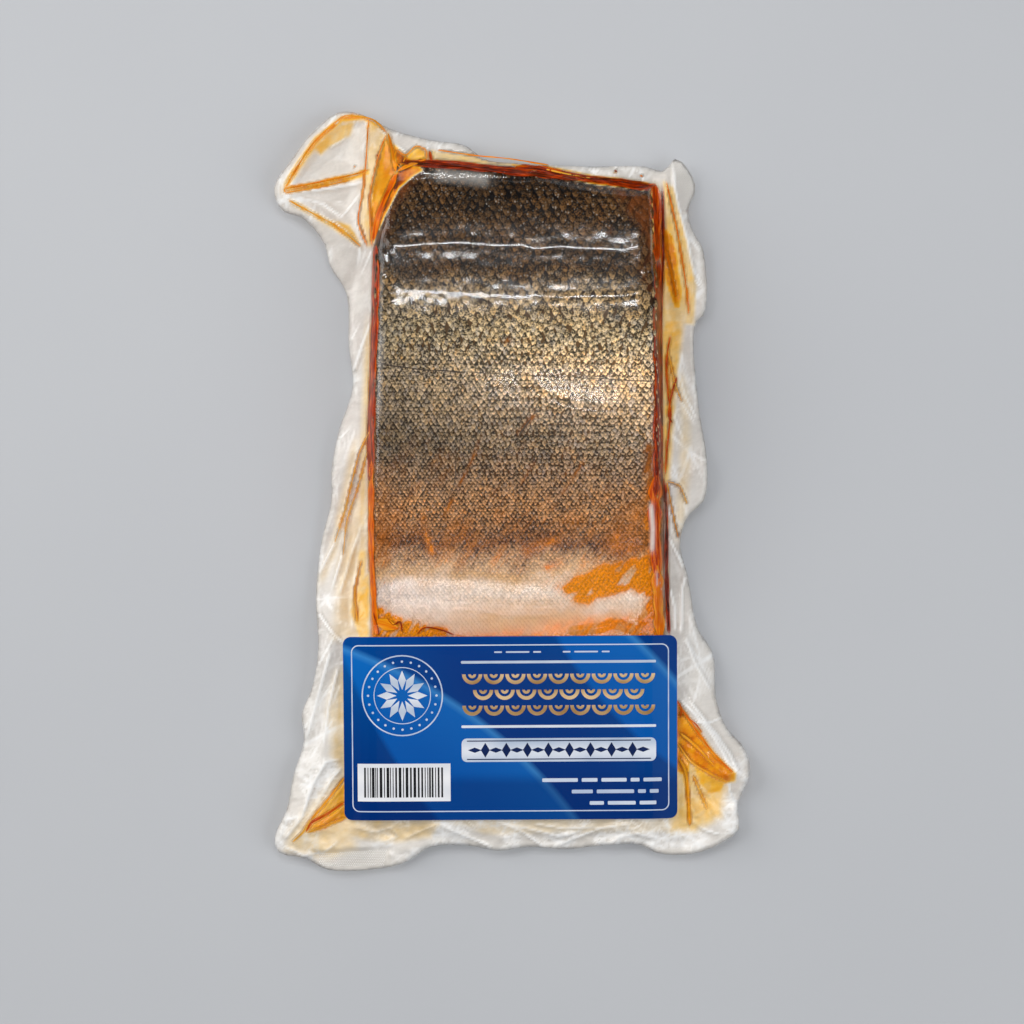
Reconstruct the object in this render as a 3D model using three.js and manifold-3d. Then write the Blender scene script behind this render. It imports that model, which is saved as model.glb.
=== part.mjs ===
// Cold-smoked salmon in its vacuum bag, lying skin side up.
//
// Millimetres, +Z up. The fish's back is towards +Y and its belly towards -Y. The bag is one solid out to its
// uneven outline: the block of fish in the middle, and round it the flat double film with its folds. The label
// is a thin sheet stuck over the belly half. Both solids are a slab whose upper and lower faces follow a height
// function, cut to an outline.

import * as THREE from 'three';
import { mergeVertices } from 'three/addons/utils/BufferGeometryUtils.js';
import Module from 'manifold-3d';

const wasm = await Module();
wasm.setup();

// ---------------------------------------------------------------- driving sizes

const SLAB = { width: 189, length: 297, cell: 4.5 };   // the rectangle that both outlines are cut from

const FISH = {
  // corners of the block of fish seen from above, clockwise from the back's left end
  corners: [[-43, 125], [52, 115], [55, 60], [56, -117], [-52.5, -117], [-52, 92]],
  cornerRounding: 3,
  backHeight: 15,       // at the back's rounded edge, y = backY
  backY: 122,
  loinHeight: 28,       // the thickest stretch of the side
  loinY: 52,
  bellyHeight: 11.5,    // at the belly's thin edge, y = bellyY
  bellyY: -117,
};

const SHOULDER = { outside: 7.5, inside: 5.5 };        // the film leaves the skin and slopes down to the margin

const MARGIN = { height: 3.2, thickness: 1.1, lowest: 0.55, lift: [4, 14] };

const LABEL = {
  width: 127,
  length: 70,
  centre: [-0.6, -89.9],
  cornerRadius: 3,
  turn: 0.35 * Math.PI / 180,
  thickness: 0.45,
  gap: 0.3,             // air left between the label and the bag
  flatHalfWidth: 50,    // past this the label bends down over the fish's side
  bendRadius: 24,
  skirt: 7,             // width over which the film falls away round the label
};

// Long waves of the flat film: [height, wave length along x, wave length along y, phase]
const WAVES = [
  [0.9, 58, 83, 0.4],
  [0.7, -34, 47, 2.1],
  [0.45, 21, -36, 4.4],
];

// Folds that stand up out of the film: the crest's points, half width and height, as the bag lies
const FOLDS = [
  // the upper left corner, drawn up into a pointed ear with a crease round its rim and one down its middle
  { crest: [[-88, 116], [-75, 133], [-62, 142], [-54, 141], [-47, 135], [-45, 124]], width: 3.6, height: 5.5 },
  { crest: [[-87, 116], [-56, 122]], width: 3.4, height: 4.5 },
  { crest: [[-86, 112], [-67, 102], [-57, 93]], width: 3.4, height: 5 },
  { crest: [[-54, 138], [-53, 118], [-51, 94]], width: 5.5, height: 10 },
  // the rolled film along the back and the fold under the upper right tab
  { crest: [[-42, 131], [-15, 128], [20, 121], [50, 117]], width: 4, height: 4 },
  { crest: [[62, 121], [61, 100], [63, 70]], width: 4.2, height: 8 },
  { crest: [[62, 66], [62, 5], [60, -50]], width: 3.6, height: 4 },
  // creases that run out of the left side towards the lower corner
  { crest: [[-57, 60], [-61, 20], [-66, -12]], width: 3.8, height: 3.5 },
  { crest: [[-58, -10], [-66, -34], [-71, -60], [-75, -92]], width: 4, height: 4.5 },
  { crest: [[-64, -60], [-72, -100], [-84, -128]], width: 4.2, height: 3.5 },
  // creases that fan out of the right side
  { crest: [[60, -6], [72, 10]], width: 3.4, height: 3 },
  { crest: [[60, -30], [68, -62], [73, -84]], width: 3.8, height: 3.5 },
  // the gathered corners below the label
  { crest: [[-62, -117], [-78, -130]], width: 4.6, height: 5 },
  { crest: [[63, -84], [75, -97], [86, -109], [67, -103]], width: 4.4, height: 5.5 },
  { crest: [[66, -122], [82, -128]], width: 4, height: 3.5 },
  { crest: [[-30, -126], [-44, -141]], width: 4, height: 3 },
  { crest: [[18, -126], [26, -136]], width: 4, height: 2.5 },
];

// The bag's edge seen from above, clockwise from the ear's tip
const BAG_EDGE = {
  ear: [[-91, 116], [-84, 127], [-77, 136.5], [-67, 144.8], [-60, 144.8], [-46, 138.5]],
  top: [[-31, 134.5], [-18, 132.5], [-10, 127], [10, 125.5], [30, 124.5], [51, 124.5], [58, 122.5]],
  tab: [[62.5, 127.5], [67.5, 123], [70.4, 116], [67.3, 108], [69, 100]],
  right: [
    [73, 93], [73.8, 68.5], [70.2, 64], [71.5, 33], [74.4, 14], [73.6, -3], [67, -10], [64.3, -20],
    [67.5, -33], [71, -52],
  ],
  lowerRight: [[77, -62], [78, -79], [82, -90], [89.5, -99], [90.9, -107], [86.4, -120], [86.8, -129]],
  bottom: [
    [80, -134.5], [70, -138.5], [56, -138.5], [48, -135], [34, -135.5], [20, -137], [6, -136],
    [-5, -137.5], [-17, -135.5], [-31, -136], [-41, -142], [-52, -144.6], [-71, -144.6],
  ],
  lowerLeft: [[-79, -140.5], [-89.5, -138], [-90.8, -132], [-86, -121], [-83.5, -108], [-79.6, -95], [-80.5, -85]],
  left: [
    [-76.5, -75], [-74, -60], [-75, -40], [-73, -19], [-69.2, -4], [-69, 9], [-66, 24], [-61, 40],
    [-62.5, 56], [-63.5, 76],
  ],
  underEar: [[-69.5, 86], [-72, 95], [-80, 104.5], [-88, 107.5]],
};
const EDGE_STEPS = 260;

// ---------------------------------------------------------------- small helpers

const clamp01 = (t) => Math.min(1, Math.max(0, t));
const smooth = (t) => clamp01(t) ** 2 * (3 - 2 * clamp01(t));
const mix = (a, b, t) => a + (b - a) * t;

// Distance from a point to a straight stretch, and how far along the stretch the nearest point is
function toStretch(x, y, [ax, ay], [bx, by]) {
  const dx = bx - ax;
  const dy = by - ay;
  const along = clamp01(((x - ax) * dx + (y - ay) * dy) / (dx * dx + dy * dy));
  return { distance: Math.hypot(x - ax - dx * along, y - ay - dy * along), along };
}

// Depth inside a convex outline whose corners run clockwise: above 0 inside, below 0 outside, soft at corners
function depthInside(x, y, corners, rounding) {
  let sum = 0;
  corners.forEach(([ax, ay], i) => {
    const [bx, by] = corners[(i + 1) % corners.length];
    const inward = ((x - ax) * (by - ay) - (y - ay) * (bx - ax)) / Math.hypot(bx - ax, by - ay);
    sum += Math.exp(-inward / rounding);
  });
  return -rounding * Math.log(sum);
}

// ---------------------------------------------------------------- heights

// The skin's height over the table: it rises quickly from the back to the loin, then thins down to the belly
function skinHeight(y) {
  if (y > FISH.loinY) {
    const t = (y - FISH.loinY) / (FISH.backY - FISH.loinY);
    return FISH.loinHeight - (FISH.loinHeight - FISH.backHeight) * t * t;
  }
  const t = (FISH.loinY - y) / (FISH.loinY - FISH.bellyY);
  return FISH.loinHeight - (FISH.loinHeight - FISH.bellyHeight) * (0.35 * t + 0.65 * smooth(t));
}

function foldHeight(x, y) {
  let highest = 0;
  for (const { crest, width, height } of FOLDS) {
    let nearest = Infinity;
    for (let i = 0; i + 1 < crest.length; i += 1) {
      nearest = Math.min(nearest, toStretch(x, y, crest[i], crest[i + 1]).distance);
    }
    highest = Math.max(highest, height * Math.exp(-((nearest / width) ** 2)));
  }
  return highest;
}

// The middle of the flat double film. Folds die out under the label.
function filmHeight(x, y) {
  let height = MARGIN.height + foldHeight(x, y) * (1 - labelCover(x, y));
  for (const [rise, alongX, alongY, phase] of WAVES) {
    height += rise * Math.sin(2 * Math.PI * (x / alongX + y / alongY) + phase);
  }
  return Math.max(height, MARGIN.lowest + MARGIN.thickness / 2);
}

// What the label lies on: level across the fish, bending down past its sides as far as the label reaches
function labelSupport(x, y) {
  const across = Math.min(LABEL.width / 2, Math.abs(x - LABEL.centre[0]));
  const past = Math.max(0, across - LABEL.flatHalfWidth);
  const drop = LABEL.bendRadius - Math.sqrt(LABEL.bendRadius ** 2 - past ** 2);
  return skinHeight(y) - drop;
}

// 1 under the label, falling to 0 over the skirt of film round it
function labelCover(x, y) {
  const [cx, cy] = LABEL.centre;
  const outX = Math.max(0, Math.abs(x - cx) - LABEL.width / 2);
  const outY = Math.max(0, Math.abs(y - cy) - LABEL.length / 2);
  return 1 - smooth(Math.hypot(outX, outY) / LABEL.skirt);
}

function bagTop(x, y) {
  const depth = depthInside(x, y, FISH.corners, FISH.cornerRounding);
  const shoulder = smooth((depth + SHOULDER.outside) / (SHOULDER.outside + SHOULDER.inside));
  const film = filmHeight(x, y) + MARGIN.thickness / 2;
  const bare = mix(film, Math.max(film, skinHeight(y)), shoulder);
  return mix(bare, labelSupport(x, y), labelCover(x, y));
}

// Flat under the fish, lifting off the table under the film
function bagUnder(x, y) {
  const depth = depthInside(x, y, FISH.corners, FISH.cornerRounding);
  const [start, end] = MARGIN.lift;
  const lifted = smooth((-depth - start) / (end - start));
  return lifted * Math.max(0, filmHeight(x, y) - MARGIN.thickness / 2);
}

const labelUnder = (x, y) => labelSupport(x, y) + LABEL.gap;
const labelTop = (x, y) => labelSupport(x, y) + LABEL.gap + LABEL.thickness;

// ---------------------------------------------------------------- solids

function toManifold(geometry) {
  const bare = geometry.index ? geometry.toNonIndexed() : geometry.clone();
  bare.deleteAttribute('normal');
  bare.deleteAttribute('uv');
  const merged = mergeVertices(bare, 1e-4);
  return new wasm.Manifold(new wasm.Mesh({
    numProp: 3,
    vertProperties: Float32Array.from(merged.attributes.position.array),
    triVerts: Uint32Array.from(merged.index.array),
  }));
}

function toGeometry(solid) {
  const { vertProperties, triVerts } = solid.getMesh();
  const geometry = new THREE.BufferGeometry();
  geometry.setAttribute('position', new THREE.BufferAttribute(vertProperties, 3));
  geometry.setIndex(new THREE.BufferAttribute(triVerts, 1));
  geometry.computeVertexNormals();
  return geometry;
}

// A slab between two height functions, cut to an outline. All slabs share the same grid lines, so two that
// lie on each other keep an even gap.
function cutSlab(top, under, outline) {
  const cellsAcross = Math.round(SLAB.width / SLAB.cell);
  const cellsAlong = Math.round(SLAB.length / SLAB.cell);
  const slab = new THREE.BoxGeometry(SLAB.width, SLAB.length, 2, cellsAcross, cellsAlong, 1);
  const position = slab.attributes.position;
  for (let i = 0; i < position.count; i += 1) {
    const x = position.getX(i);
    const y = position.getY(i);
    position.setZ(i, position.getZ(i) > 0 ? top(x, y) : under(x, y));
  }
  const depth = 2 * FISH.loinHeight;
  const cutter = new THREE.ExtrudeGeometry(outline, { depth, bevelEnabled: false, curveSegments: 6 });
  cutter.translate(0, 0, -depth / 4);
  return toGeometry(toManifold(slab).intersect(toManifold(cutter)).simplify(0.01));
}

function bagOutline() {
  const points = Object.values(BAG_EDGE).flat().map(([x, y]) => new THREE.Vector3(x, y, 0));
  const edge = new THREE.CatmullRomCurve3(points, true, 'centripetal');
  return new THREE.Shape(edge.getSpacedPoints(EDGE_STEPS).slice(0, -1).map(({ x, y }) => new THREE.Vector2(x, y)));
}

function labelOutline() {
  const { width, length, cornerRadius: r, centre, turn } = LABEL;
  const [right, top] = [width / 2, length / 2];
  const outline = new THREE.Shape();
  outline.absarc(right - r, top - r, r, 0, Math.PI / 2);
  outline.absarc(r - right, top - r, r, Math.PI / 2, Math.PI);
  outline.absarc(r - right, r - top, r, Math.PI, 1.5 * Math.PI);
  outline.absarc(right - r, r - top, r, 1.5 * Math.PI, 2 * Math.PI);
  const middle = new THREE.Vector2(...centre);
  const origin = new THREE.Vector2(0, 0);
  return new THREE.Shape(outline.getPoints(6).map((p) => p.rotateAround(origin, turn).add(middle)));
}

// ---------------------------------------------------------------- the object

function makePiece(name, geometry, material) {
  const piece = new THREE.Mesh(geometry, material);
  piece.name = name;
  return piece;
}

const clearBagWithFish = new THREE.MeshStandardMaterial({ color: 0x9c8464, roughness: 0.25, metalness: 0 });
const printedLabel = new THREE.MeshStandardMaterial({ color: 0x14559c, roughness: 0.35, metalness: 0 });

const pack = new THREE.Group();
pack.add(makePiece('vacuum_bag', cutSlab(bagTop, bagUnder, bagOutline()), clearBagWithFish));
pack.add(makePiece('label', cutSlab(labelTop, labelUnder, labelOutline()), printedLabel));

// The origin is under the middle of the pack, on the table
const extent = new THREE.Box3().setFromObject(pack);
const middle = extent.getCenter(new THREE.Vector3());
pack.position.set(-middle.x, -middle.y, -extent.min.z);
pack.updateMatrixWorld(true);

export default pack;
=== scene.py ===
# %% [markdown]
# # Cold-smoked salmon in a vacuum bag
#
# A block of salmon side lies skin side up in a clear bag. The air has been drawn out, so the film clings
# to the fish, and round the fish two films lie flat on each other in milky folds with amber oil between
# them. A blue label covers the belly half.
#
# The pack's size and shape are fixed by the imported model, which is loaded first and never changed. Every
# piece below reads its heights from that model, which keeps them close to each other without fitting.

import math

import bmesh
import bpy
import numpy as np
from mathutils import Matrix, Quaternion, Vector
from mathutils.bvhtree import BVHTree
from mathutils.kdtree import KDTree


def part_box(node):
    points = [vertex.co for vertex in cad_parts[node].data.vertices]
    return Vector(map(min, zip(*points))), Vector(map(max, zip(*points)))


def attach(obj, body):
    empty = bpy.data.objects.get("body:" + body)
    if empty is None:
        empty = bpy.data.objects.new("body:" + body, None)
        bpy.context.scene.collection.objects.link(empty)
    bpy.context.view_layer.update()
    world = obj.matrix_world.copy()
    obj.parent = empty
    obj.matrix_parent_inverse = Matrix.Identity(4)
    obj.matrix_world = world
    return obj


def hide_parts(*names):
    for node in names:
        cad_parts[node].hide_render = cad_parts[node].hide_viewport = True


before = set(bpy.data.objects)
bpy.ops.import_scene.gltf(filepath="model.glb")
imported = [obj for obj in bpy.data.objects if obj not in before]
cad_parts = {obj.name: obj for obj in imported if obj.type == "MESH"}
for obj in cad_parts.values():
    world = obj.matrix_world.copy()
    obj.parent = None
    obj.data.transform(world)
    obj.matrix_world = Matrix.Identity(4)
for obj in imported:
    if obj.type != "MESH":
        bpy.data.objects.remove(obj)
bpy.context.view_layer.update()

MM = 0.001
scene = bpy.context.scene
collection = scene.collection

# %% [markdown]
# ## Height maps
#
# The model is made of flat facets about 4.5 mm wide. They are too coarse for glossy film, which shows
# every facet in its reflections. Rays shot straight down and straight up measure the solid on a fine
# grid, and a soft blur removes the facets. A map is then a table that any piece can ask for a height.

# %% Measure the solids with rays
CELL, PAD = 0.72 * MM, 6 * MM
RAY_START = 0.1
low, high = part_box("vacuum_bag")
grid_x = np.arange(low.x - PAD, high.x + PAD, CELL)
grid_y = np.arange(low.y - PAD, high.y + PAD, CELL)


def merged_mesh(node):
    """The node's triangles with their shared corners joined, as an editable copy."""
    copy = bmesh.new()
    copy.from_mesh(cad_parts[node].data)
    bmesh.ops.remove_doubles(copy, verts=copy.verts, dist=1e-6)
    copy.normal_update()
    return copy


def ray_heights(copy, upward):
    """Height of the solid's underside (upward) or top on the grid, with gaps where a ray misses."""
    tree = BVHTree.FromBMesh(copy)
    start, direction = (-RAY_START, Vector((0, 0, 1))) if upward else (RAY_START, Vector((0, 0, -1)))
    heights = np.full((len(grid_y), len(grid_x)), np.nan)
    for row, y in enumerate(grid_y):
        for column, x in enumerate(grid_x):
            place = tree.ray_cast(Vector((x, y, start)), direction)[0]
            if place is not None:
                heights[row, column] = place.z
    return heights


def soften(heights, reach):
    """Blurs a map over reach cells and fills its gaps from the nearest known heights."""
    steps = np.arange(-3 * reach, 3 * reach + 1)
    kernel = np.exp(-0.5 * (steps / reach) ** 2)
    known = ~np.isnan(heights)
    value, weight = np.where(known, heights, 0.0), known.astype(float) + 1e-9 * (~known)
    value = value + weight * (~known) * np.nanmean(heights)
    for axis in (0, 1):
        value = np.apply_along_axis(np.convolve, axis, value, kernel, "same")
        weight = np.apply_along_axis(np.convolve, axis, weight, kernel, "same")
    return value / weight


bag_copy = merged_mesh("vacuum_bag")
bag_top = soften(ray_heights(bag_copy, upward=False), 3)
bag_under = soften(ray_heights(bag_copy, upward=True), 3)
label_copy = merged_mesh("label")
label_top = soften(ray_heights(label_copy, upward=False), 4)
label_copy.free()
print("maps:", bag_top.shape, "thickest", round(float(bag_top.max()) / MM, 1), "mm")


def read_map(table, x, y):
    """The map's height at any points, by straight lines between its four nearest entries."""
    u = np.clip((np.asarray(x) - grid_x[0]) / CELL, 0, len(grid_x) - 1.001)
    v = np.clip((np.asarray(y) - grid_y[0]) / CELL, 0, len(grid_y) - 1.001)
    column, row = u.astype(int), v.astype(int)
    across, along = u - column, v - row
    near = table[row, column] * (1 - across) + table[row, column + 1] * across
    far = table[row + 1, column] * (1 - across) + table[row + 1, column + 1] * across
    return near * (1 - along) + far * along


# %% [markdown]
# ## The bag's edge
#
# The bag was drawn in unevenly, so its edge is a wandering line. It is read from the solid: the edge runs
# where the upper surface meets the upright rim. Walking from corner to corner along those edges gives the
# outline in order, and from it the distance of any point to the bag's edge.

# %% Walk round the bag's edge
# a face is upright where its normal rises less than this
UPRIGHT = 1e-2


def edge_loop(copy):
    """The (x, y) points of the longest loop between up-facing and upright faces, in order."""
    links = {}
    for edge in copy.edges:
        slopes = [face.normal.z for face in edge.link_faces]
        if len(slopes) == 2 and max(slopes) > UPRIGHT and min(abs(slope) for slope in slopes) < UPRIGHT:
            a, b = edge.verts
            links.setdefault(a, []).append(b)
            links.setdefault(b, []).append(a)
    loops = []
    while links:
        loop = [next(iter(links))]
        while True:
            onward = [vert for vert in links.pop(loop[-1], []) if vert in links]
            if not onward:
                break
            loop.append(onward[0])
        loops.append(loop)
    return np.array([vert.co.xy for vert in max(loops, key=len)])


bag_edge = edge_loop(bag_copy)
bag_copy.free()
print("edge corners:", len(bag_edge))


def distance_to_path(x, y, path, closed=False):
    """Each point's distance to a path, the nearest place on it, and how far along the path that is."""
    x, y = np.asarray(x, float).ravel(), np.asarray(y, float).ravel()
    path = np.asarray(path, float)
    ends = np.roll(path, -1, axis=0) if closed else path[1:]
    starts = path if closed else path[:-1]
    lengths = np.hypot(*(ends - starts).T)
    before = np.concatenate([[0], np.cumsum(lengths)])
    best = np.full(len(x), np.inf)
    place = np.zeros((len(x), 2))
    along = np.zeros(len(x))
    for (ax, ay), (bx, by), length, reached in zip(starts, ends, lengths, before):
        share = ((x - ax) * (bx - ax) + (y - ay) * (by - ay)) / max(length ** 2, 1e-18)
        share = np.clip(share, 0, 1)
        px, py = ax + share * (bx - ax), ay + share * (by - ay)
        distance = np.hypot(x - px, y - py)
        nearer = distance < best
        best[nearer] = distance[nearer]
        place[nearer] = np.stack([px, py], 1)[nearer]
        along[nearer] = (reached + share * length)[nearer] / before[-1]
    return best, place, along


def inside_path(x, y, path):
    """True for points inside a closed path, by counting the edges that a line to the right crosses."""
    inside = np.zeros(len(x), bool)
    for (ax, ay), (bx, by) in zip(path, np.roll(path, -1, axis=0)):
        if ay != by:
            crosses = ((ay > y) != (by > y)) & (x < ax + (y - ay) * (bx - ax) / (by - ay))
            inside ^= crosses
    return inside


# %% [markdown]
# ## Strokes and noise
#
# Folds, oil and stains all lie along lines. One stroke is a short list of given points with a half
# width, and a function gives how strongly a point feels it. The same strokes can lift the film, clear it
# or tint it. Between them, seeded noise gives the unevenness that nobody would draw by hand. Places are
# in millimetres from the middle of the pack.

# %% Stroke and noise helpers
def smooth(share):
    share = np.clip(share, 0, 1)
    return share * share * (3 - 2 * share)


def stroke(x, y, points, width, sharp=False):
    """1 on the stroke's line, 0 past its half width, and weaker over each end's sixth of its length."""
    distance, _, along = distance_to_path(x, y, np.array(points) * MM)
    fall = np.clip(1 - distance / (width * MM), 0, 1)
    taper = smooth(np.minimum(along, 1 - along) * 6 + 0.25)
    return (fall ** 1.6 if sharp else smooth(fall)) * taper


TABLE = 64
# added to a square's number, so that none is below zero
AHEAD = 1000


def random_squares(seed, row, column):
    """A function that gives the seeded value of the square so many rows up and columns over."""
    table = np.random.default_rng(seed).random((TABLE, TABLE))
    return lambda up, over: table[(row + up) % TABLE, (column + over) % TABLE]


def noise(x, y, size, seed):
    """Smooth random values from 0 to 1, with one independent value for each square of a size in mm."""
    u, v = np.asarray(x) / (size * MM) + AHEAD, np.asarray(y) / (size * MM) + AHEAD
    column, row = np.floor(u).astype(int), np.floor(v).astype(int)
    across, along = smooth(u - column), smooth(v - row)
    value = random_squares(seed, row, column)
    near = value(0, 0) * (1 - across) + value(0, 1) * across
    far = value(1, 0) * (1 - across) + value(1, 1) * across
    return near * (1 - along) + far * along


CREASE_WIDTH = 0.8


def facets(x, y, heading, size, stretch, seed):
    """Stiff film's crumple: heights from 0 to 1 on flat three-sided facets that are longer along a
    heading, and how near each point is to a crease between them."""
    angle = math.radians(heading)
    along = (x * math.cos(angle) + y * math.sin(angle)) / (size * stretch * MM)
    across = (y * math.cos(angle) - x * math.sin(angle)) / (size * MM)
    along = along + 1.1 * noise(x, y, 2.6 * size, seed + 1) + AHEAD
    across = across + 1.1 * noise(x, y, 2.6 * size, seed + 2) + AHEAD
    skew = (along + across) * (math.sqrt(3) - 1) / 2
    u, v = along + skew, across + skew
    column, row = np.floor(u).astype(int), np.floor(v).astype(int)
    right, up = u - column, v - row
    height = random_squares(seed, row, column)
    third = np.where(right > up, height(0, 1), height(1, 0))
    larger, smaller = np.maximum(right, up), np.minimum(right, up)
    heights = height(0, 0) * (1 - larger) + third * (larger - smaller) + height(1, 1) * smaller
    to_crease = np.minimum(np.minimum(smaller, larger - smaller), 1 - larger) * size
    return np.stack([heights, smooth(1 - to_crease / CREASE_WIDTH)])


def area(x, y, outline, softness):
    """1 inside a listed outline, falling to 0 across its edge over the softness in mm."""
    outline = np.array(outline) * MM
    x, y = np.ravel(x), np.ravel(y)
    distance, _, _ = distance_to_path(x, y, outline, closed=True)
    signed = np.where(inside_path(x, y, outline), distance, -distance)
    return smooth(signed / (softness * MM) + 0.5)


# %% [markdown]
# ## Where the fish lies
#
# Seen from above, the block is a long quadrilateral with one corner cut off at the upper left, where the
# bag pinches it. Its outline drives the fish, the film over it and the oil at its sides. The depth inside
# it is soft at the corners, as flesh is.

# %% The fish's outline and the zones of the film
FISH_LEFT = [(-52, -117), (-53.5, -20), (-52, 92), (-43, 125.5)]
FISH_RIGHT = [(56, -117), (57, -20), (55, 60), (53.5, 116.5)]
FISH_OUTLINE = np.array(FISH_LEFT + FISH_RIGHT[::-1]) * MM
LABEL_CENTRE = (-0.6 * MM, -89.9 * MM)
LABEL_SIZE = (127 * MM, 70 * MM)


def fish_depth(x, y):
    """Distance inside the fish's outline, below zero outside it."""
    distance, _, _ = distance_to_path(x, y, FISH_OUTLINE, closed=True)
    return np.where(inside_path(np.ravel(x), np.ravel(y), FISH_OUTLINE), distance, -distance)


def label_cover(x, y, skirt):
    """1 under the label, falling to 0 over a skirt in mm round it."""
    out_x = np.maximum(0, np.abs(x - LABEL_CENTRE[0]) - LABEL_SIZE[0] / 2)
    out_y = np.maximum(0, np.abs(y - LABEL_CENTRE[1]) - LABEL_SIZE[1] / 2)
    return 1 - smooth(np.hypot(out_x, out_y) / (skirt * MM))


# %% [markdown]
# ## Folds and pools
#
# These lists are the pack's portrait. A fold is a line of film that stands up, given as points, half
# width and height. A pool is oil that fills a fold or the corner beside the fish, given as points, half
# width and how deep the oil is there, from thin yellow to thick red-brown. Both are in millimetres.

# %% Folds in the film: points, half width, height
MARGIN_FOLDS = [
    # the ear at the upper left: its rim, the double crease down its middle and the fold at its root
    ([(-88, 117), (-75, 134), (-67, 141), (-63, 143), (-55, 142), (-48, 136), (-45, 124)], 2.2, 1.5),
    ([(-87, 115.5), (-81, 116.5), (-68, 119.5), (-56, 122.5)], 1.4, 1.2),
    ([(-87, 114), (-80, 114.5), (-68, 116), (-57, 118)], 1.2, 0.9),
    ([(-86, 112), (-81, 109), (-67, 102), (-61, 97), (-57, 93)], 2.0, 1.3),
    ([(-55, 141), (-55.5, 130), (-56, 116), (-57, 103), (-55, 93)], 1.4, 1.5),
    ([(-48, 136), (-51, 126), (-53, 115), (-54, 103), (-53, 93)], 1.5, 1.7),
    ([(-84, 113), (-72, 110), (-65, 105), (-58, 114)], 1.2, 0.7),
    ([(-74, 134), (-69, 132), (-64, 135), (-63, 141)], 1.3, 0.8),
    # the rolled film along the fish's back
    ([(-31, 126.5), (-20, 125.5), (-5, 123), (5, 122), (12, 124), (20, 121), (33, 117.5),
      (52, 116)], 1.9, 1.8),
    ([(-44, 132), (-41, 129.5), (-44, 123), (-36, 130), (-32, 131), (-32, 126)], 1.3, 1.3),
    # the tab at the upper right and the fold below it
    ([(61.5, 126), (62, 117), (64, 106), (67, 96), (69, 84), (69, 70)], 1.5, 1.3),
    ([(59, 119), (59, 105), (60, 92), (62, 80), (64, 69)], 1.6, 1.4),
    ([(63, 112), (65, 104), (66, 96)], 1.0, 0.8),
    # down the left side
    ([(-53, 66), (-57, 56), (-61, 44)], 1.7, 1.3),
    ([(-54, 23), (-58, 15), (-61, 4), (-64, -8), (-68, -20), (-75, -34)], 1.6, 1.5),
    ([(-55, 15), (-59, 1), (-63, -11), (-65, -25), (-69, -38)], 1.5, 1.3),
    ([(-56, -9), (-61, -23), (-66, -40)], 1.5, 1.4),
    ([(-57, -24), (-61, -38), (-61, -52)], 1.3, 1.1),
    ([(-74, -46), (-69, -53), (-64, -58)], 1.3, 1.0),
    ([(-56, -35), (-59, -42), (-57, -46), (-60, -50), (-56, -52)], 1.2, 1.2),
    ([(-69, -60), (-74, -78), (-79, -96)], 1.7, 1.4),
    ([(-66, -66), (-70, -82), (-72, -97)], 1.4, 1.0),
    ([(-65, -102), (-71, -103), (-76, -112), (-80, -124), (-87, -133)], 1.6, 1.5),
    ([(-65, -105), (-69, -110), (-76, -122), (-84, -134)], 1.4, 1.2),
    # down the right side
    ([(59, 56), (62, 42), (65, 34), (70, 26)], 1.4, 1.1),
    ([(62, 52), (66, 37), (70.5, 28)], 1.2, 0.9),
    ([(59.5, 4), (64, 2), (67, -5)], 1.4, 1.3),
    ([(59.5, 3), (61, -7), (64, -18)], 1.5, 1.5),
    ([(59, 4), (58, -9), (59.5, -26)], 1.2, 1.1),
    ([(59, -16), (63, -24), (66, -30)], 1.3, 1.2),
    ([(67, -30), (65, -37), (64.5, -54)], 1.5, 1.4),
    ([(60, -36), (62, -44), (62, -53)], 1.2, 0.9),
    ([(66, -55), (70, -66), (76, -76)], 1.5, 1.4),
    ([(67, -79), (75, -89), (83, -100), (87, -108)], 1.5, 1.4),
    ([(69, -88), (76, -88), (81, -86)], 1.1, 1.0),
    ([(76, -90), (80, -95)], 1.2, 1.1),
    # the lower right corner
    ([(64, -79), (70, -85), (76, -92), (81, -100), (84, -106)], 1.5, 1.2),
    ([(67, -97), (73, -101), (80, -107)], 1.3, 1.4),
    ([(66, -103), (70, -112), (74, -120), (78, -126)], 1.4, 1.4),
    ([(70, -112), (76, -117), (82, -124)], 1.3, 1.2),
    ([(82, -106), (83, -114), (86, -122)], 1.4, 1.3),
    ([(65, -121), (68, -118), (70, -124), (74, -121), (80, -127)], 1.2, 1.3),
    ([(64, -127), (69, -126), (73, -129), (80, -131)], 1.2, 1.0),
    # the lower left corner
    ([(-65, -113), (-70, -119), (-77, -129)], 1.4, 1.3),
    ([(-65, -121), (-71, -126), (-78, -130)], 1.2, 1.2),
    ([(-88, -135), (-80, -139), (-72, -138), (-66, -133)], 1.3, 1.1),
    ([(-76, -132), (-75, -137), (-71, -139)], 1.0, 0.9),
    # along the lower edge
    ([(-60, -128), (-52, -130), (-46, -128), (-44, -132), (-50, -134)], 1.3, 1.2),
    ([(-28, -126.5), (-34, -129), (-42, -133)], 1.2, 1.0),
    ([(-28, -126.5), (-19, -131), (-7, -136)], 1.3, 1.3),
    ([(-5, -126), (3, -129.5), (13, -136)], 1.2, 1.2),
    ([(-5, -126.5), (8, -129), (18, -132), (28, -129)], 1.1, 1.1),
    ([(17, -135.5), (26, -131.5), (35, -128), (46, -126.5)], 1.2, 1.1),
    ([(35, -136), (41, -132), (48, -130.5), (56, -133)], 1.2, 1.1),
    ([(8, -126.5), (20, -128.5), (31, -128), (42, -129)], 1.0, 1.0),
]
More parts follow.
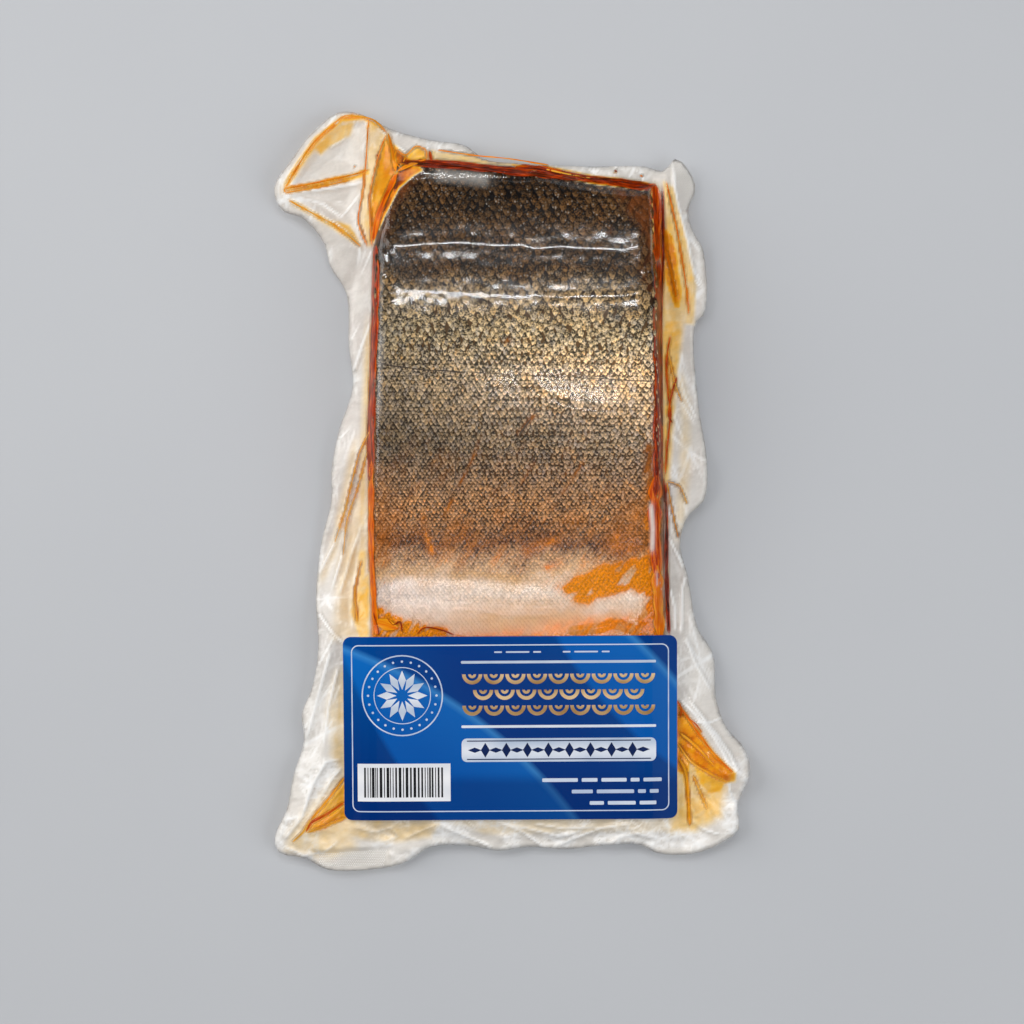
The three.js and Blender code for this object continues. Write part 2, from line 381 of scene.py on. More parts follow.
SKIN_FOLDS = [
    # film that bridges the scales along the back: one long thin wrinkle and a broader one below it
    ([(-53, 92), (-47, 95), (-42, 92.5), (-32, 93.5), (-19, 94), (-5, 92.8), (4, 93), (8, 91.4), (18, 92.3),
      (27, 91.6), (35, 91.4), (42, 90.4), (50, 93)], 3.2, 0.09),
    ([(-53, 79), (-49, 76), (-44, 74)], 2.0, 0.16),
    ([(-50, 77), (-38, 76), (-24, 75), (-12, 73.6), (-2, 74), (8, 74)], 3.0, 0.03),
    ([(8, 74), (18, 73), (30, 73.5), (41, 73.5), (49, 75), (55, 84)], 2.4, 0.1),
    ([(-49, 91), (-48, 86), (-49, 80)], 1.6, 0.3),
    ([(49, 81), (53, 85), (56, 90)], 1.3, 0.3),
    # a dent beside the lateral line
    ([(4, 44), (8, 37), (14, 34), (23, 31), (30, 30), (38, 30), (45, 26), (51, 21)], 3.4, 0.12),
    # the belly's long soft wrinkles
    ([(-52, -39), (-46, -34), (-38, -32.5), (-24, -33), (-7, -34), (10, -35.5)], 3.4, 0.05),
    ([(-52, -44), (-44, -40.5), (-30, -41), (-14, -42), (6, -43.5), (22, -43)], 3.2, 0.045),
    ([(22, -53), (33, -52), (39, -50), (47, -53), (55, -49)], 1.4, 0.45),
    ([(-41, -52), (-34, -53), (-27, -53.5)], 1.4, 0.4),
    # the film's edge along the top of the skin
    ([(-30, 124), (-12, 121), (-1, 119.5), (9, 119), (20, 115.5), (35, 112.5), (51, 111)], 1.3, 0.4),
    ([(-8, 118), (2, 117), (12, 118.5), (16, 117)], 1.2, 0.3),
]

# %% Pools of oil: points, half width at the middle, oil depth from 0 (thin) to 1 (thick)
POOLS = {
    "oil_left_edge": [
        ([(-51.6, 93), (-51.6, 78), (-51.6, 62), (-52.4, 44), (-53, 27), (-53.8, 4)], 1.5, 0.8),
        ([(-53.2, 12), (-53.4, -4), (-53.4, -20), (-52.6, -38), (-51.4, -54.5)], 1.3, 0.6),
        ([(-52.8, 72), (-53.3, 52), (-54.4, 30), (-55, 12)], 0.35, 0.9),
    ],
    "oil_right_wall": [
        ([(55.6, 88), (55.2, 72), (55, 50), (55.2, 30), (55, 8), (54, -2)], 1.9, 0.86),
        ([(54.6, 6), (54, -8), (54.6, -22), (55, -33)], 2.8, 0.68),
        ([(54.8, -28), (55.4, -40), (56.4, -56)], 2.8, 0.54),
    ],
    "oil_right_edge": [
        ([(54.4, 117.5), (54.8, 104), (54.8, 87)], 2.0, 0.76),
        # a painted highlight: a thin pale-yellow lens down the band's middle
        ([(53.4, 114.6), (53.6, 106), (53.6, 98)], 0.55, 0.1),
        ([(57.3, 116.5), (57.6, 92), (56.8, 73), (56.6, 50), (56.7, 30), (56.8, 8), (57.8, -4)], 0.6, 0.94),
        ([(57.8, 5), (58.9, -11), (58.8, -26), (59.2, -41), (59.8, -55)], 0.8, 0.92),
        ([(58.7, 118.4), (62.9, 99.4), (66.7, 76.6), (67.6, 67)], 0.3, 0.55),
        ([(58.5, 92), (60.5, 84), (62.5, 74)], 0.45, 0.5),
        ([(60.5, 60), (59, 50), (59.4, 38), (60.4, 30), (59.2, 18), (58.2, 6)], 0.4, 0.7),
        ([(63, 44), (60.6, 36), (59.8, 29), (61.2, 26)], 0.45, 0.75),
    ],
    "oil_back_edge": [
        ([(-43, 125.4), (-30, 124.6), (-14, 123.2), (2, 121.7), (20, 120), (38, 118.2),
          (54, 116.6)], 1.5, 0.92),
        ([(-31.4, 130), (-30.6, 125.8)], 0.6, 0.75),
        ([(-31, 126.1), (-20, 125.2), (-8, 123.6), (3, 122.9)], 0.6, 0.85),
        ([(1, 123.4), (10, 123.2), (18, 121.2), (34, 118.4), (48.5, 115.6), (55, 117)], 1.35, 0.85),
        ([(12, 122.9), (22, 120.7), (36, 118.4)], 0.35, 0.3),
        ([(-29, 130.4), (-14, 128.2), (2, 126.4), (14, 124.6)], 0.3, 0.5),
    ],
    "oil_ear": [
        ([(-87.2, 114.6), (-81.5, 124), (-75, 133.6), (-65, 142.6), (-61, 143.2), (-54.9, 142.3),
          (-51, 140.3), (-47.3, 136.2)], 0.34, 0.43),
        ([(-87.2, 115.3), (-78, 117.2), (-69.4, 119.1), (-54.2, 122.5)], 0.3, 0.48),
        ([(-86.8, 113.8), (-79, 115.3), (-71.3, 116.9), (-62, 119)], 0.22, 0.43),
        ([(-86.9, 115.3), (-86.4, 113.9)], 0.4, 0.47),
        ([(-85.7, 111.5), (-76.2, 106.2), (-67.8, 101.7), (-61.8, 97.1), (-57.2, 92.9)], 0.26, 0.36),
        ([(-54.6, 142), (-55.7, 124.5), (-56.6, 115.7), (-58.7, 103.2), (-54.9, 92.9)], 0.24, 0.51),
        ([(-47.8, 136.2), (-50.3, 129.4), (-54, 112), (-53.2, 92.9)], 0.26, 0.51),
        ([(-47.2, 136.6), (-45.4, 129), (-44.2, 121.8)], 0.8, 0.48),
        ([(-44, 121), (-47.2, 113.5), (-50.6, 105), (-52.6, 95)], 1.2, 0.62),
        ([(-43.9, 130.2), (-40.5, 128.3), (-36.7, 131.7), (-32.9, 130.2), (-32.5, 126.7)], 0.3, 0.47),
        ([(-32.5, 126.7), (-37.8, 124.6), (-43.5, 121.8)], 0.7, 0.48),
        ([(-43.9, 130.2), (-44.9, 126.3), (-42.5, 123)], 0.3, 0.47),
        ([(-40.4, 128.2), (-41.6, 124.6)], 0.25, 0.43),
    ],
    "oil_lower_corners": [
        ([(-63.6, -108.8), (-70, -117.2), (-76.6, -125.2)], 0.4, 0.39),
        ([(-63.8, -118.6), (-70, -122.6), (-76.2, -126), (-78.6, -129.8)], 0.55, 0.66),
        ([(-63.6, -124.6), (-71, -127.6), (-78, -130)], 0.35, 0.35),
        ([(-76.6, -124.8), (-79.6, -129.8), (-84, -134)], 0.3, 0.27),
        ([(62.6, -80), (66.5, -85.5), (71.6, -92.9), (77.6, -100.8), (84.5, -107.3)], 0.45, 0.56),
        ([(62.8, -79.5), (64.6, -83), (64.2, -86)], 0.5, 0.66),
        ([(66.5, -86), (70, -88.6), (72.5, -92)], 0.35, 0.66),
        ([(63, -95.8), (68.4, -103.1), (75.3, -107.4), (82, -111)], 0.4, 0.33),
        ([(64, -92), (70, -97), (77, -104.5)], 0.5, 0.35),
        ([(63.4, -101), (66.6, -108), (67.4, -118), (68, -128)], 0.55, 0.39),
        ([(69, -108), (72, -115), (74.6, -121.5)], 0.3, 0.27),
    ],
    "oil_label_edge": [
        ([(-53, -49), (-48, -50.4), (-43, -52)], 2.2, 0.48),
        ([(-47.4, -48), (-45, -50.6), (-42.4, -49.4), (-41.6, -53.4)], 0.28, 0.86),
        ([(-52.6, -46), (-51.4, -50), (-50.4, -54.6)], 0.4, 0.86),
        ([(-36, -54), (-33, -51.6), (-27, -52.4), (-22, -54.4)], 0.26, 0.84),
    ],
    "oil_specks": [
        ([(39, 122.4), (40.2, 122)], 0.55, 0.85),
        ([(48.6, 120.6), (50, 120.2)], 0.4, 0.6),
        ([(41.4, 119.2), (42.2, 119)], 0.3, 0.8),
        ([(-60.4, 124.4), (-59.8, 124)], 0.25, 0.5),
        ([(-51.5, 128.4), (-51, 127.4)], 0.3, 0.75),
    ],
    "oil_creases": [
        ([(-54, 23), (-58, 15), (-61, 4), (-64, -8), (-68, -20)], 0.18, 0.33),
        ([(-55, 15), (-59, 1), (-63, -11), (-64.5, -25)], 0.16, 0.31),
        ([(-57.5, -26), (-60, -38), (-59, -50)], 0.2, 0.35),
        ([(59, 4), (61, -7), (63.5, -18)], 0.2, 0.39),
        ([(59, 4), (64, 2), (67, -5)], 0.16, 0.31),
        ([(59.5, 54), (62, 42), (65, 34)], 0.18, 0.31),
    ],
}

# %% [markdown]
# ## Amber fields
#
# Between two films the oil also spreads as a thin layer with soft borders. Such a field is an outline
# with a softness and a strength, or a line with a half width and a strength. The film's body takes its
# colour from them: cream where the layer is thin, then yellow, amber and brown.

# %% Where the film is amber, and where it stays clear
AMBER_AREAS = [
    # the wedge at the lower right, its pale lower part and the cream round it
    ([(61, -80), (66, -84), (71.6, -92.5), (77.6, -100.4), (85.3, -107.3), (85, -110.6), (81.5, -111),
      (75, -107.6), (68.4, -103.3), (61, -95)], 1.7, 0.72),
    ([(61, -94), (68, -103), (67, -109), (61, -106)], 2.0, 0.66),
    ([(69, -103.5), (75, -107.8), (81.5, -110.8), (80, -115), (75, -116), (71, -111)], 1.7, 0.44),
    ([(60, -98), (70, -104), (82, -113), (80, -124), (70, -130), (60, -130)], 5.0, 0.3),
    # the wedge at the lower left
    ([(-61, -107), (-70, -117.4), (-79, -129.6), (-77.9, -130.2), (-70, -127.6), (-61, -124)], 1.7, 0.5),
    ([(-61, -119), (-70, -122.8), (-78.6, -129.8), (-70, -127.4), (-61, -124)], 1.7, 0.66),
    ([(-61, -62), (-66, -70), (-69, -100), (-64, -110), (-60, -108)], 4.0, 0.2),
    ([(-62, -104), (-70, -112), (-84, -128), (-86, -137), (-70, -140), (-60, -136)], 6.0, 0.19),
    # cream with amber in its folds, beside the lower half of the fish
    ([(-54, 6), (-60, -4), (-66, -26), (-68, -56), (-54, -58)], 6.0, 0.17),
    ([(-54, -30), (-60, -36), (-62, -46), (-58, -56), (-54, -57)], 2.6, 0.36),
    # the tan folds at the upper right and the amber between them
    ([(57.5, 118.5), (61.5, 116), (66.3, 97), (70.5, 78.6), (69.5, 64), (57, 64), (56.8, 89),
      (58.3, 100.5)], 1.7, 0.3),
    ([(57.6, 100.5), (61.5, 97), (64.8, 75.7), (64, 69.8), (61.9, 70.2), (59, 78.6),
      (56.6, 88)], 1.7, 0.68),
    # the right side below them
    ([(57, 66), (66, 66), (64, 50), (62, 30), (60, 4), (57, 2)], 3.0, 0.36),
    # the ear: its rim, the middle crease, its root band, and the deep oil beside the fish
    ([(-76, 131), (-66, 140), (-60, 141), (-62, 136), (-70, 131.5), (-73, 128.5)], 1.7, 0.34),
    ([(-86, 114.5), (-70, 117.6), (-54, 120.5), (-54, 123), (-70, 119.4), (-86, 115.6)], 1.7, 0.52),
    ([(-54.8, 142), (-48, 136), (-50.4, 129), (-54.4, 110), (-53, 93), (-55, 93), (-58.6, 103),
      (-56, 124)], 1.7, 0.25),
    ([(-47.6, 137), (-46.2, 134), (-44, 122), (-47, 114), (-52.6, 94), (-54.6, 106),
      (-50.4, 128)], 1.7, 0.62),
    ([(-46, 133), (-43.6, 124), (-34, 123.6), (-32, 126), (-38, 125.4), (-43, 122), (-45.6, 118),
      (-50, 108), (-52.8, 94), (-48.4, 104), (-43, 115), (-38, 119.6), (-34, 122)], 1.7, 0.9),
    ([(-43.9, 130.2), (-40.5, 128.3), (-36.7, 131.7), (-32.9, 130.2), (-32.5, 126.7), (-37.8, 125),
      (-43.5, 122.8)], 1.7, 0.44),
    ([(-68, 103.4), (-61, 97.6), (-57.5, 94), (-62, 101.6)], 1.7, 0.44),
    # along the back
    ([(-31, 130.2), (-16, 128), (2, 126), (14, 124.4), (3, 123.2), (-16, 124.8), (-31, 126.2)], 1.7, 0.26),
    ([(0, 124.6), (12, 124.2), (34, 119.8), (52, 117.6), (50, 114.6), (34, 116.6), (16, 120),
      (2, 121.4)], 1.7, 0.9),
    # under the lower edge of the label
    ([(-64, -124), (-40, -125.6), (-27, -125.4), (-31, -132), (-48, -134.4), (-66, -131)], 3.0, 0.2),
    ([(-28, -124.6), (20, -124.6), (58, -125), (62, -130), (30, -130), (-10, -131)], 2.4, 0.12),
]
AMBER_LINES = [
    ([(-54.5, 66), (-55.5, 30), (-57, 4), (-57, -20), (-57.5, -54)], 3.0, 0.22),
    ([(-57, -20), (-58, -38), (-58.5, -54)], 4.0, 0.34),
    ([(-87.4, 114.8), (-81, 124.6), (-74.4, 134), (-65, 142), (-56, 143), (-47.6, 137)], 2.3, 0.58),
    ([(-87, 114.6), (-78, 116.4), (-69.4, 118.2), (-55, 121.4)], 2.0, 0.56),
    ([(-85.4, 111.4), (-76, 106), (-68, 101.4), (-61.8, 97.1), (-57.2, 92.9)], 1.7, 0.42),
    ([(54, 117), (54.6, 104), (54.6, 88)], 2.6, 0.8),
    ([(64.8, -98), (67, -116), (67.6, -128)], 1.7, 0.56),
    ([(70, -106), (73, -116), (76, -124)], 2.4, 0.3),
    ([(-59, 22), (-63, 2), (-68, -22), (-74, -36)], 3.0, 0.14),
    ([(-64, -66), (-68, -84), (-66, -100)], 5.0, 0.13),
    ([(62, 50), (66, 34), (66, 10), (63, -20)], 4.0, 0.14),
]
MILKY_LINES = [
    ([(-48.6, 62), (-49.6, 44), (-50, 26)], 1.6, 0.22),
    # partly milky film where it lifts off the back's edge, partly a painted sheen
    ([(-30, 120.6), (-20, 119.6), (-8, 118)], 4.5, 0.34),
]
# painted highlights on the front film over the oil, as white milky strokes: points, half width, strength
PAINTED_HIGHLIGHT_LINES = [
    ([(52.4, -4), (53.2, -14), (53.0, -23.5)], 1.5, 0.9),
    ([(54.6, -30), (55.2, -36)], 0.8, 0.5),
]
# oil on the belly that is deep enough to wet the film over it: outline, softness, strength
WET_STAINS = [
    ([(16.5, -36.2), (19.7, -34), (26.6, -30.8), (34, -27.6), (43, -25.5), (52, -24), (54, -40), (49, -39),
      (43, -38), (39.5, -39.4), (32.5, -40.5), (29.8, -43), (25, -43), (19.7, -38.9)], 5.0, 1.3),
    ([(-54, -42), (-49, -44), (-44, -47), (-36, -49), (-24, -52), (-24, -57), (-54, -57)], 3.6, 1.2),
]
CLEAR_LINES = [
    ([(-50, 128), (-44, 124), (-30, 127), (-10, 124), (4, 123), (18, 121), (34, 118), (54, 117)], 3.6),
    ([(-52, 93), (-52, 60), (-53, 20), (-54, -20), (-53, -55)], 1.6),
    ([(57, 116), (57, 90), (56, 50), (56, 8), (58, -14), (58.4, -55)], 2.4),
]

# %% [markdown]
# ## The film's height
#
# A vacuum bag's film is stiff enough to bridge small dips and thin enough to crease. One map adds it all
# up: the solid's own shape with its shoulders drawn tighter round the fish, the drawn folds, and between
# them flat facets with sharp creases, whose heading turns with the side of the bag. Over the fish the
# film stays tight, and only takes on the scales' bumps. Pieces beside the film take their heights from this
# map too, so they follow it closely. They don't at the bag's rim, which is drawn down to the seam later on,
# and on the steep sides a few scales come through.

# %% Build the film's height map
X, Y = np.meshgrid(grid_x, grid_y)
depth = fish_depth(X, Y).reshape(X.shape)
PLATEAU_INSET, PLATEAU_TOP = 12 * MM, 118 * MM
ROUND_REACH, ROUND_DROP = 10 * MM, 2.4 * MM
left_of_row = np.interp(grid_y, *np.array(FISH_LEFT)[:, ::-1].T * MM)[:, None]
right_of_row = np.interp(grid_y, *np.array(FISH_RIGHT)[:, ::-1].T * MM)[:, None]
plateau_x = np.clip(X, left_of_row + PLATEAU_INSET, right_of_row - PLATEAU_INSET)
plateau = read_map(bag_top, plateau_x, np.minimum(Y, PLATEAU_TOP))
toward_edge = np.clip(1 - depth / ROUND_REACH, 0, 1)
rounded = plateau - ROUND_DROP * (1 - np.sqrt(1 - toward_edge ** 2))
uneven_edge = 1.3 * (noise(X, Y, 6, 51) - 0.5) + 0.5 * (noise(X, Y, 2.6, 53) - 0.5)
# the film is drawn tighter at the fish's shoulders, lies loose beside it and is tight over it
shoulder = smooth((depth / MM + 3.0 + uneven_edge) / 5.0) * (1 - label_cover(X, Y, 9))
film_base = np.maximum(bag_top, bag_top + (rounded - bag_top) * shoulder)
loose = smooth((-depth / MM + 1.0) / 5.0) * (1 - label_cover(X, Y, 6))
tight = smooth((depth / MM + 1.0) / 3.0) * (1 - label_cover(X, Y, 3))


def drawn_folds(folds, sharp):
    """The height of all the listed folds on the grid."""
    lift = np.zeros(X.size)
    for points, width, height in folds:
        lift = np.maximum(lift, height * MM * stroke(X, Y, points, width, sharp=sharp))
    return lift.reshape(X.shape)


def crumple(*kinds):
    """Adds facets of several kinds, each a share, a heading, a size, a stretch and a seed."""
    return sum(share * facets(X, Y, *kind) for share, *kind in kinds)


left_side = 1 - smooth((X / MM + 10) / 20)
foot = smooth((-96 - Y / MM) / 12)
left_crumple = crumple((0.66, 66, 12, 2.6, 11), (0.25, 80, 5, 2.6, 13), (0.09, 50, 2.4, 2.0, 17))
right_crumple = crumple((0.66, -72, 12, 2.6, 23), (0.25, -85, 5, 2.6, 27), (0.09, -50, 2.4, 2.0, 29))
foot_crumple = crumple((0.46, 24, 8, 2.0, 31), (0.46, -38, 4.4, 1.8, 37), (0.22, 4, 2.2, 1.8, 41))
crumpled, creased = (
    (1 - foot) * (left_side * left_crumple + (1 - left_side) * right_crumple) + foot * foot_crumple)
SEAL_STRIP = [(-76, -137.6), (-47, -136.2), (-47, -146), (-76, -146)]
TAB = [(59, 128), (67, 131), (71, 122), (70, 108), (63, 106), (60, 116)]
EAR = [(-84, 115), (-73, 132), (-65, 140), (-57, 140), (-56.5, 104), (-58, 96), (-66, 103)]
# welded and pressed parts crumple less
flat = np.maximum(area(X, Y, SEAL_STRIP, 2), area(X, Y, TAB, 2))
flat = 1 - 0.85 * np.maximum(flat, area(X, Y, EAR, 3)).reshape(X.shape)
CRUMPLE_HEIGHT, WAVE_HEIGHT = 3.4 * MM, 1.0 * MM
long_waves = (noise(X, Y, 17, 5) - 0.5) * WAVE_HEIGHT
film_top = film_base + loose * flat * (crumpled * CRUMPLE_HEIGHT + long_waves)
film_top += drawn_folds(MARGIN_FOLDS, sharp=True) * (1 - tight)

# over the fish the film is pressed onto the scales, so that it takes on their bumps
FINE_BUMP, LOIN_BUMP, PUCKER = 0.022 * MM, 0.05 * MM, 0.25 * MM
scale_bumps = (noise(X, Y, 2.9, 61) - 0.5) * (FINE_BUMP + LOIN_BUMP * smooth((Y / MM - 50) / 18))
skin_folds = drawn_folds(SKIN_FOLDS, sharp=False)
scale_bumps *= 1 - 0.8 * smooth(skin_folds / (0.05 * MM))
film_top += tight * (scale_bumps + skin_folds)
# down the fish's sides it puckers a little
beside = smooth(1 - np.abs(depth / MM - 1.0) / 3.0) * (1 - label_cover(X, Y, 3))
film_top += beside * (noise(X, Y, 4.4, 67) - 0.5) * PUCKER
print("film crests up to", round(float((film_top - bag_top).max()) / MM, 2), "mm above the solid")

# %% [markdown]
# ## The film
#
# The bag is one closed skin: the front film and the back film meet all round the edge. It is made as a
# fine grid cut to the bag's edge, doubled, and joined along the rim. A cloth simulation could make such
# creases too, but it wouldn't put them where this bag has them. Each corner of the mesh also carries five
# numbers for the material: how milky the film is, how amber, how white a crease has turned it (stress
# whitening with a painted highlight), whether it is the back film, and whether oil wets it.

# %% Make the bag's closed skin
BLOCK = 4


def new_mesh(name, corners, faces):
    mesh = bpy.data.meshes.new(name)
    mesh.from_pydata([tuple(corner) for corner in corners], [], faces)
    mesh.update()
    piece = bpy.data.objects.new(name, mesh)
    collection.objects.link(piece)
    return piece


def shade_smooth(piece):
    piece.data.polygons.foreach_set("use_smooth", np.ones(len(piece.data.polygons), bool))


def store(piece, name, values):
    """Keeps one number for each corner of the mesh, for the material to read."""
    layer = piece.data.attributes.new(name, "FLOAT", "POINT")
    layer.data.foreach_set("value", np.asarray(values, np.float32).ravel())


def face_outwards(piece):
    """Turns every face of a closed piece to the outside."""
    whole = bmesh.new()
    whole.from_mesh(piece.data)
    bmesh.ops.recalc_face_normals(whole, faces=whole.faces)
    whole.to_mesh(piece.data)
    whole.free()


def grid_faces(cells, coarse_zone):
    """Faces of the grid's cells. A whole block of cells in the coarse zone becomes one many-sided face."""
    wide = X.shape[1]
    tall_blocks, wide_blocks = cells.shape[0] // BLOCK, cells.shape[1] // BLOCK
    tiles = (cells & coarse_zone)[:tall_blocks * BLOCK, :wide_blocks * BLOCK]
    merged = tiles.reshape(tall_blocks, BLOCK, wide_blocks, BLOCK).all(axis=(1, 3))
    covered = np.zeros(cells.shape, bool)
    covered[:tall_blocks * BLOCK, :wide_blocks * BLOCK] = merged.repeat(BLOCK, 0).repeat(BLOCK, 1)
    rows, columns = np.nonzero(cells & ~covered)
    first = rows * wide + columns
    found = np.stack([first, first + 1, first + 1 + wide, first + wide], 1).tolist()
    # each side: the corner where it starts, the step along it, and the step to the block beyond it
    sides = (
        (0, 0, 0, 1, -1, 0),
        (0, BLOCK, 1, 0, 0, 1),
        (BLOCK, BLOCK, 0, -1, 1, 0),
        (BLOCK, 0, -1, 0, 0, -1),
    )
    for block_row, block_column in zip(*np.nonzero(merged)):
        face = []
        for down, right, step_down, step_right, next_down, next_right in sides:
            fine_neighbour = not merged[block_row + next_down, block_column + next_right]
            for step in range(BLOCK if fine_neighbour else 1):
                row = block_row * BLOCK + down + step * step_down
                face.append(int(row * wide + block_column * BLOCK + right + step * step_right))
        found.append(face)
    return found


edge_distance, edge_place, _ = distance_to_path(X, Y, bag_edge, closed=True)
edge_distance = edge_distance.reshape(X.shape)
in_bag = inside_path(X.ravel(), Y.ravel(), bag_edge).reshape(X.shape)
# corners too near the edge would make slivers
in_bag &= edge_distance > 0.12 * CELL
cells = in_bag[:-1, :-1] & in_bag[1:, :-1] & in_bag[:-1, 1:] & in_bag[1:, 1:]
touching = np.zeros(X.shape, int)
for down, right in ((0, 0), (0, 1), (1, 0), (1, 1)):
    touching[down:down + cells.shape[0], right:right + cells.shape[1]] += cells
on_rim = ((touching > 0) & (touching < 4)).ravel()

plan = np.column_stack([X.ravel(), Y.ravel()])
plan[on_rim] = edge_place[on_rim]
SEAM, FLOOR_GAP = 0.12 * MM, 0.05 * MM
front_z = read_map(film_top, plan[:, 0], plan[:, 1])
back_z = np.minimum(read_map(bag_under, plan[:, 0], plan[:, 1]), front_z - 2 * SEAM)
back_z = np.maximum(back_z, FLOOR_GAP)
front_z = np.maximum(front_z, back_z + 2 * SEAM)
front_z[on_rim] = 0.5 * (front_z + back_z)[on_rim]

count = len(plan)
back_index = np.where(on_rim, np.arange(count), np.arange(count) + count)
# film that lies wholly under the label can have coarse faces, and so can the back film
cell_x, cell_y = X[:-1, :-1], Y[:-1, :-1]
hidden = label_cover(cell_x, cell_y, 0.1) * label_cover(cell_x + 3 * MM, cell_y + 3 * MM, 0.1)
faces = grid_faces(cells, hidden > 0.5)
faces += [back_index[face][::-1].tolist() for face in grid_faces(cells, np.ones(cells.shape, bool))]
corners = np.concatenate([np.column_stack([plan, front_z]), np.column_stack([plan, back_z])])
used = np.unique(np.concatenate(faces))
compact = np.zeros(2 * count, int)
compact[used] = np.arange(len(used))
bag_film = new_mesh("bag_film", corners[used], [compact[face].tolist() for face in faces])
shade_smooth(bag_film)
print("film triangles:", sum(len(face) - 2 for face in faces))

# %% Paint the film's numbers
film_x, film_y = corners[used][:, 0], corners[used][:, 1]
film_depth = fish_depth(film_x, film_y) / MM


def strongest(strokes):
    """The strongest of (points, half width, strength) strokes at each corner of the film."""
    value = np.zeros(len(film_x))
    for points, half_width, strength in strokes:
        value = np.maximum(value, strength * stroke(film_x, film_y, points, half_width))
    return value


amber = strongest(AMBER_LINES)
for outline, softness, strength in AMBER_AREAS:
    amber = np.maximum(amber, strength * area(film_x, film_y, outline, softness))
streaks = 0.5 * noise(film_x, film_y, 3.4, 71) + 0.5 * noise(film_x * 1.6, film_y * 0.7, 2.2, 73)
amber *= 0.74 + 0.5 * streaks
# creases turn near-white: partly the film's stress whitening, partly a painted highlight along them
crests = strongest([(points, 0.5 * half_width, 1.0) for points, half_width, _ in MARGIN_FOLDS])
worn = smooth((noise(film_x, film_y, 7, 83) - 0.3) / 0.4) * read_map(creased * flat, film_x, film_y)
whitening_and_highlight = np.maximum(worn, 0.9 * crests) * smooth(-film_depth / 2) * (1 - smooth(amber * 3))
milk = smooth((0.6 - film_depth) / 3.0) * (0.66 + 0.3 * noise(film_x, film_y, 9, 79))
milk = milk + 0.3 * whitening_and_highlight
milk *= 1 - 0.97 * strongest([(points, half_width, 1.0) for points, half_width in CLEAR_LINES])
milk = np.maximum(milk, strongest(MILKY_LINES))
milk = np.maximum(milk, smooth(amber * 3.2) * 0.93)
# the front film is clear right above the deeper lines of oil, so that they show
front, back = used < count, used >= count
pool_lines = [line for pools in POOLS.values() for line in pools]
slits = strongest([(points, half_width + 0.8, 1.0) for points, half_width, _ in pool_lines])
slits = smooth(slits * 2.2) * front
milk *= 1 - 0.98 * slits
whitening_and_highlight *= 1 - slits
# and the back film is tinted below them, as thin oil spreads from each line
under_oil = strongest([(points, half_width + 1.1, 1.0) for points, half_width, _ in pool_lines])
amber = np.maximum(amber, 0.66 * smooth(under_oil * 1.5) * back)
# painted highlight: the front film turns white and loses its amber along these strokes
painted_highlight = strongest(PAINTED_HIGHLIGHT_LINES) * front
milk = np.maximum(milk, painted_highlight)
amber *= 1 - painted_highlight
store(bag_film, "milk", np.clip(milk, 0, 1))
store(bag_film, "amber", amber)
store(bag_film, "whitening_and_highlight", np.clip(whitening_and_highlight, 0, 1))
store(bag_film, "back_side", back)
# where oil wets the film from inside, only its outer side reflects
wetted = slits
for outline, softness, _ in WET_STAINS:
    wetted = np.maximum(wetted, area(film_x, film_y, outline, softness) * front)
store(bag_film, "wetted", wetted)
print("film painted: amber on", round(100 * float((amber > 0.2).mean())), "per cent of its corners")

# %% [markdown]
# ## The fish
#
# Inside the bag is a solid block: dark scaly skin above and at the back's edge, orange flesh at the cut
# sides and underneath. It is lofted from cross-sections. Each one is a closed ring of points that follows
# the film's height across the skin, goes down the cut sides and back along the flat underside. The skin
# stays about 1 mm below the film, which leaves room for the scales.

# %% Loft the block of fish
SKIN_GAP, FISH_BASE = 1.05 * MM, 0.45 * MM
THINNEST, CORE_HEIGHT = 2 * MM, FISH_BASE + 3 * MM
# cross-sections, steps across the skin and steps down a cut side
STATIONS, ACROSS, DOWN = 150, 84, 8
# the share of the length that each end rounds off over, and how full the end itself is
ROUNDING, END_FULLNESS = 0.035, 0.12
BULGE, FOOT_INSET = 1.1 * MM, 0.5 * MM


def along_side(points, share):
    """A point at a share of the side's height, between listed points from the belly to the back."""
    points = np.array(points) * MM
    y = points[0, 1] + share * (points[-1, 1] - points[0, 1])
    return np.array([np.interp(y, points[:, 1], points[:, 0]), y])


def skin_height(x, y):
    return np.maximum(read_map(film_base, x, y) - SKIN_GAP, FISH_BASE + THINNEST)


rings = []
for station in range(STATIONS):
    share = station / (STATIONS - 1)
    end = min(share, 1 - share, ROUNDING) / ROUNDING
    fullness = max(math.sqrt(1 - (1 - end) ** 2), END_FULLNESS)
    left, right = along_side(FISH_LEFT, share), along_side(FISH_RIGHT, share)
    top = []
    for step in range(ACROSS + 1):
        x, y = left + (right - left) * step / ACROSS
        top.append((x, y, float(skin_height(x, y))))
    ring = [(x, y, CORE_HEIGHT + (z - CORE_HEIGHT) * fullness) for x, y, z in top]
    for side, (x, y, z) in ((1, ring[-1]), (-1, ring[0])):
        wall = []
        for step in range(1, DOWN + 1):
            drop = step / DOWN
            bulge = BULGE * math.sin(math.pi * min(drop * 1.1, 1)) - FOOT_INSET * drop ** 6
            wall.append((x + side * bulge, y, z + (FISH_BASE - z) * drop))
        ring = ring + wall if side == 1 else wall[::-1] + ring
    rings.append(ring)

ring_size = len(rings[0])
corners = [corner for ring in rings for corner in ring]
faces = []
for station in range(STATIONS - 1):
    base = station * ring_size
    for step in range(ring_size):
        onward = (step + 1) % ring_size
        faces.append((base + step, base + ring_size + step, base + ring_size + onward, base + onward))
for station in (0, STATIONS - 1):
    centre = np.mean(rings[station], axis=0)
    corners.append(tuple(centre))
    for step in range(ring_size):
        a, b = station * ring_size + step, station * ring_size + (step + 1) % ring_size
        faces.append((len(corners) - 1, a, b) if station == 0 else (len(corners) - 1, b, a))
salmon = new_mesh("salmon_block", corners, faces)
face_outwards(salmon)
shade_smooth(salmon)
print("salmon block:", len(faces), "faces")

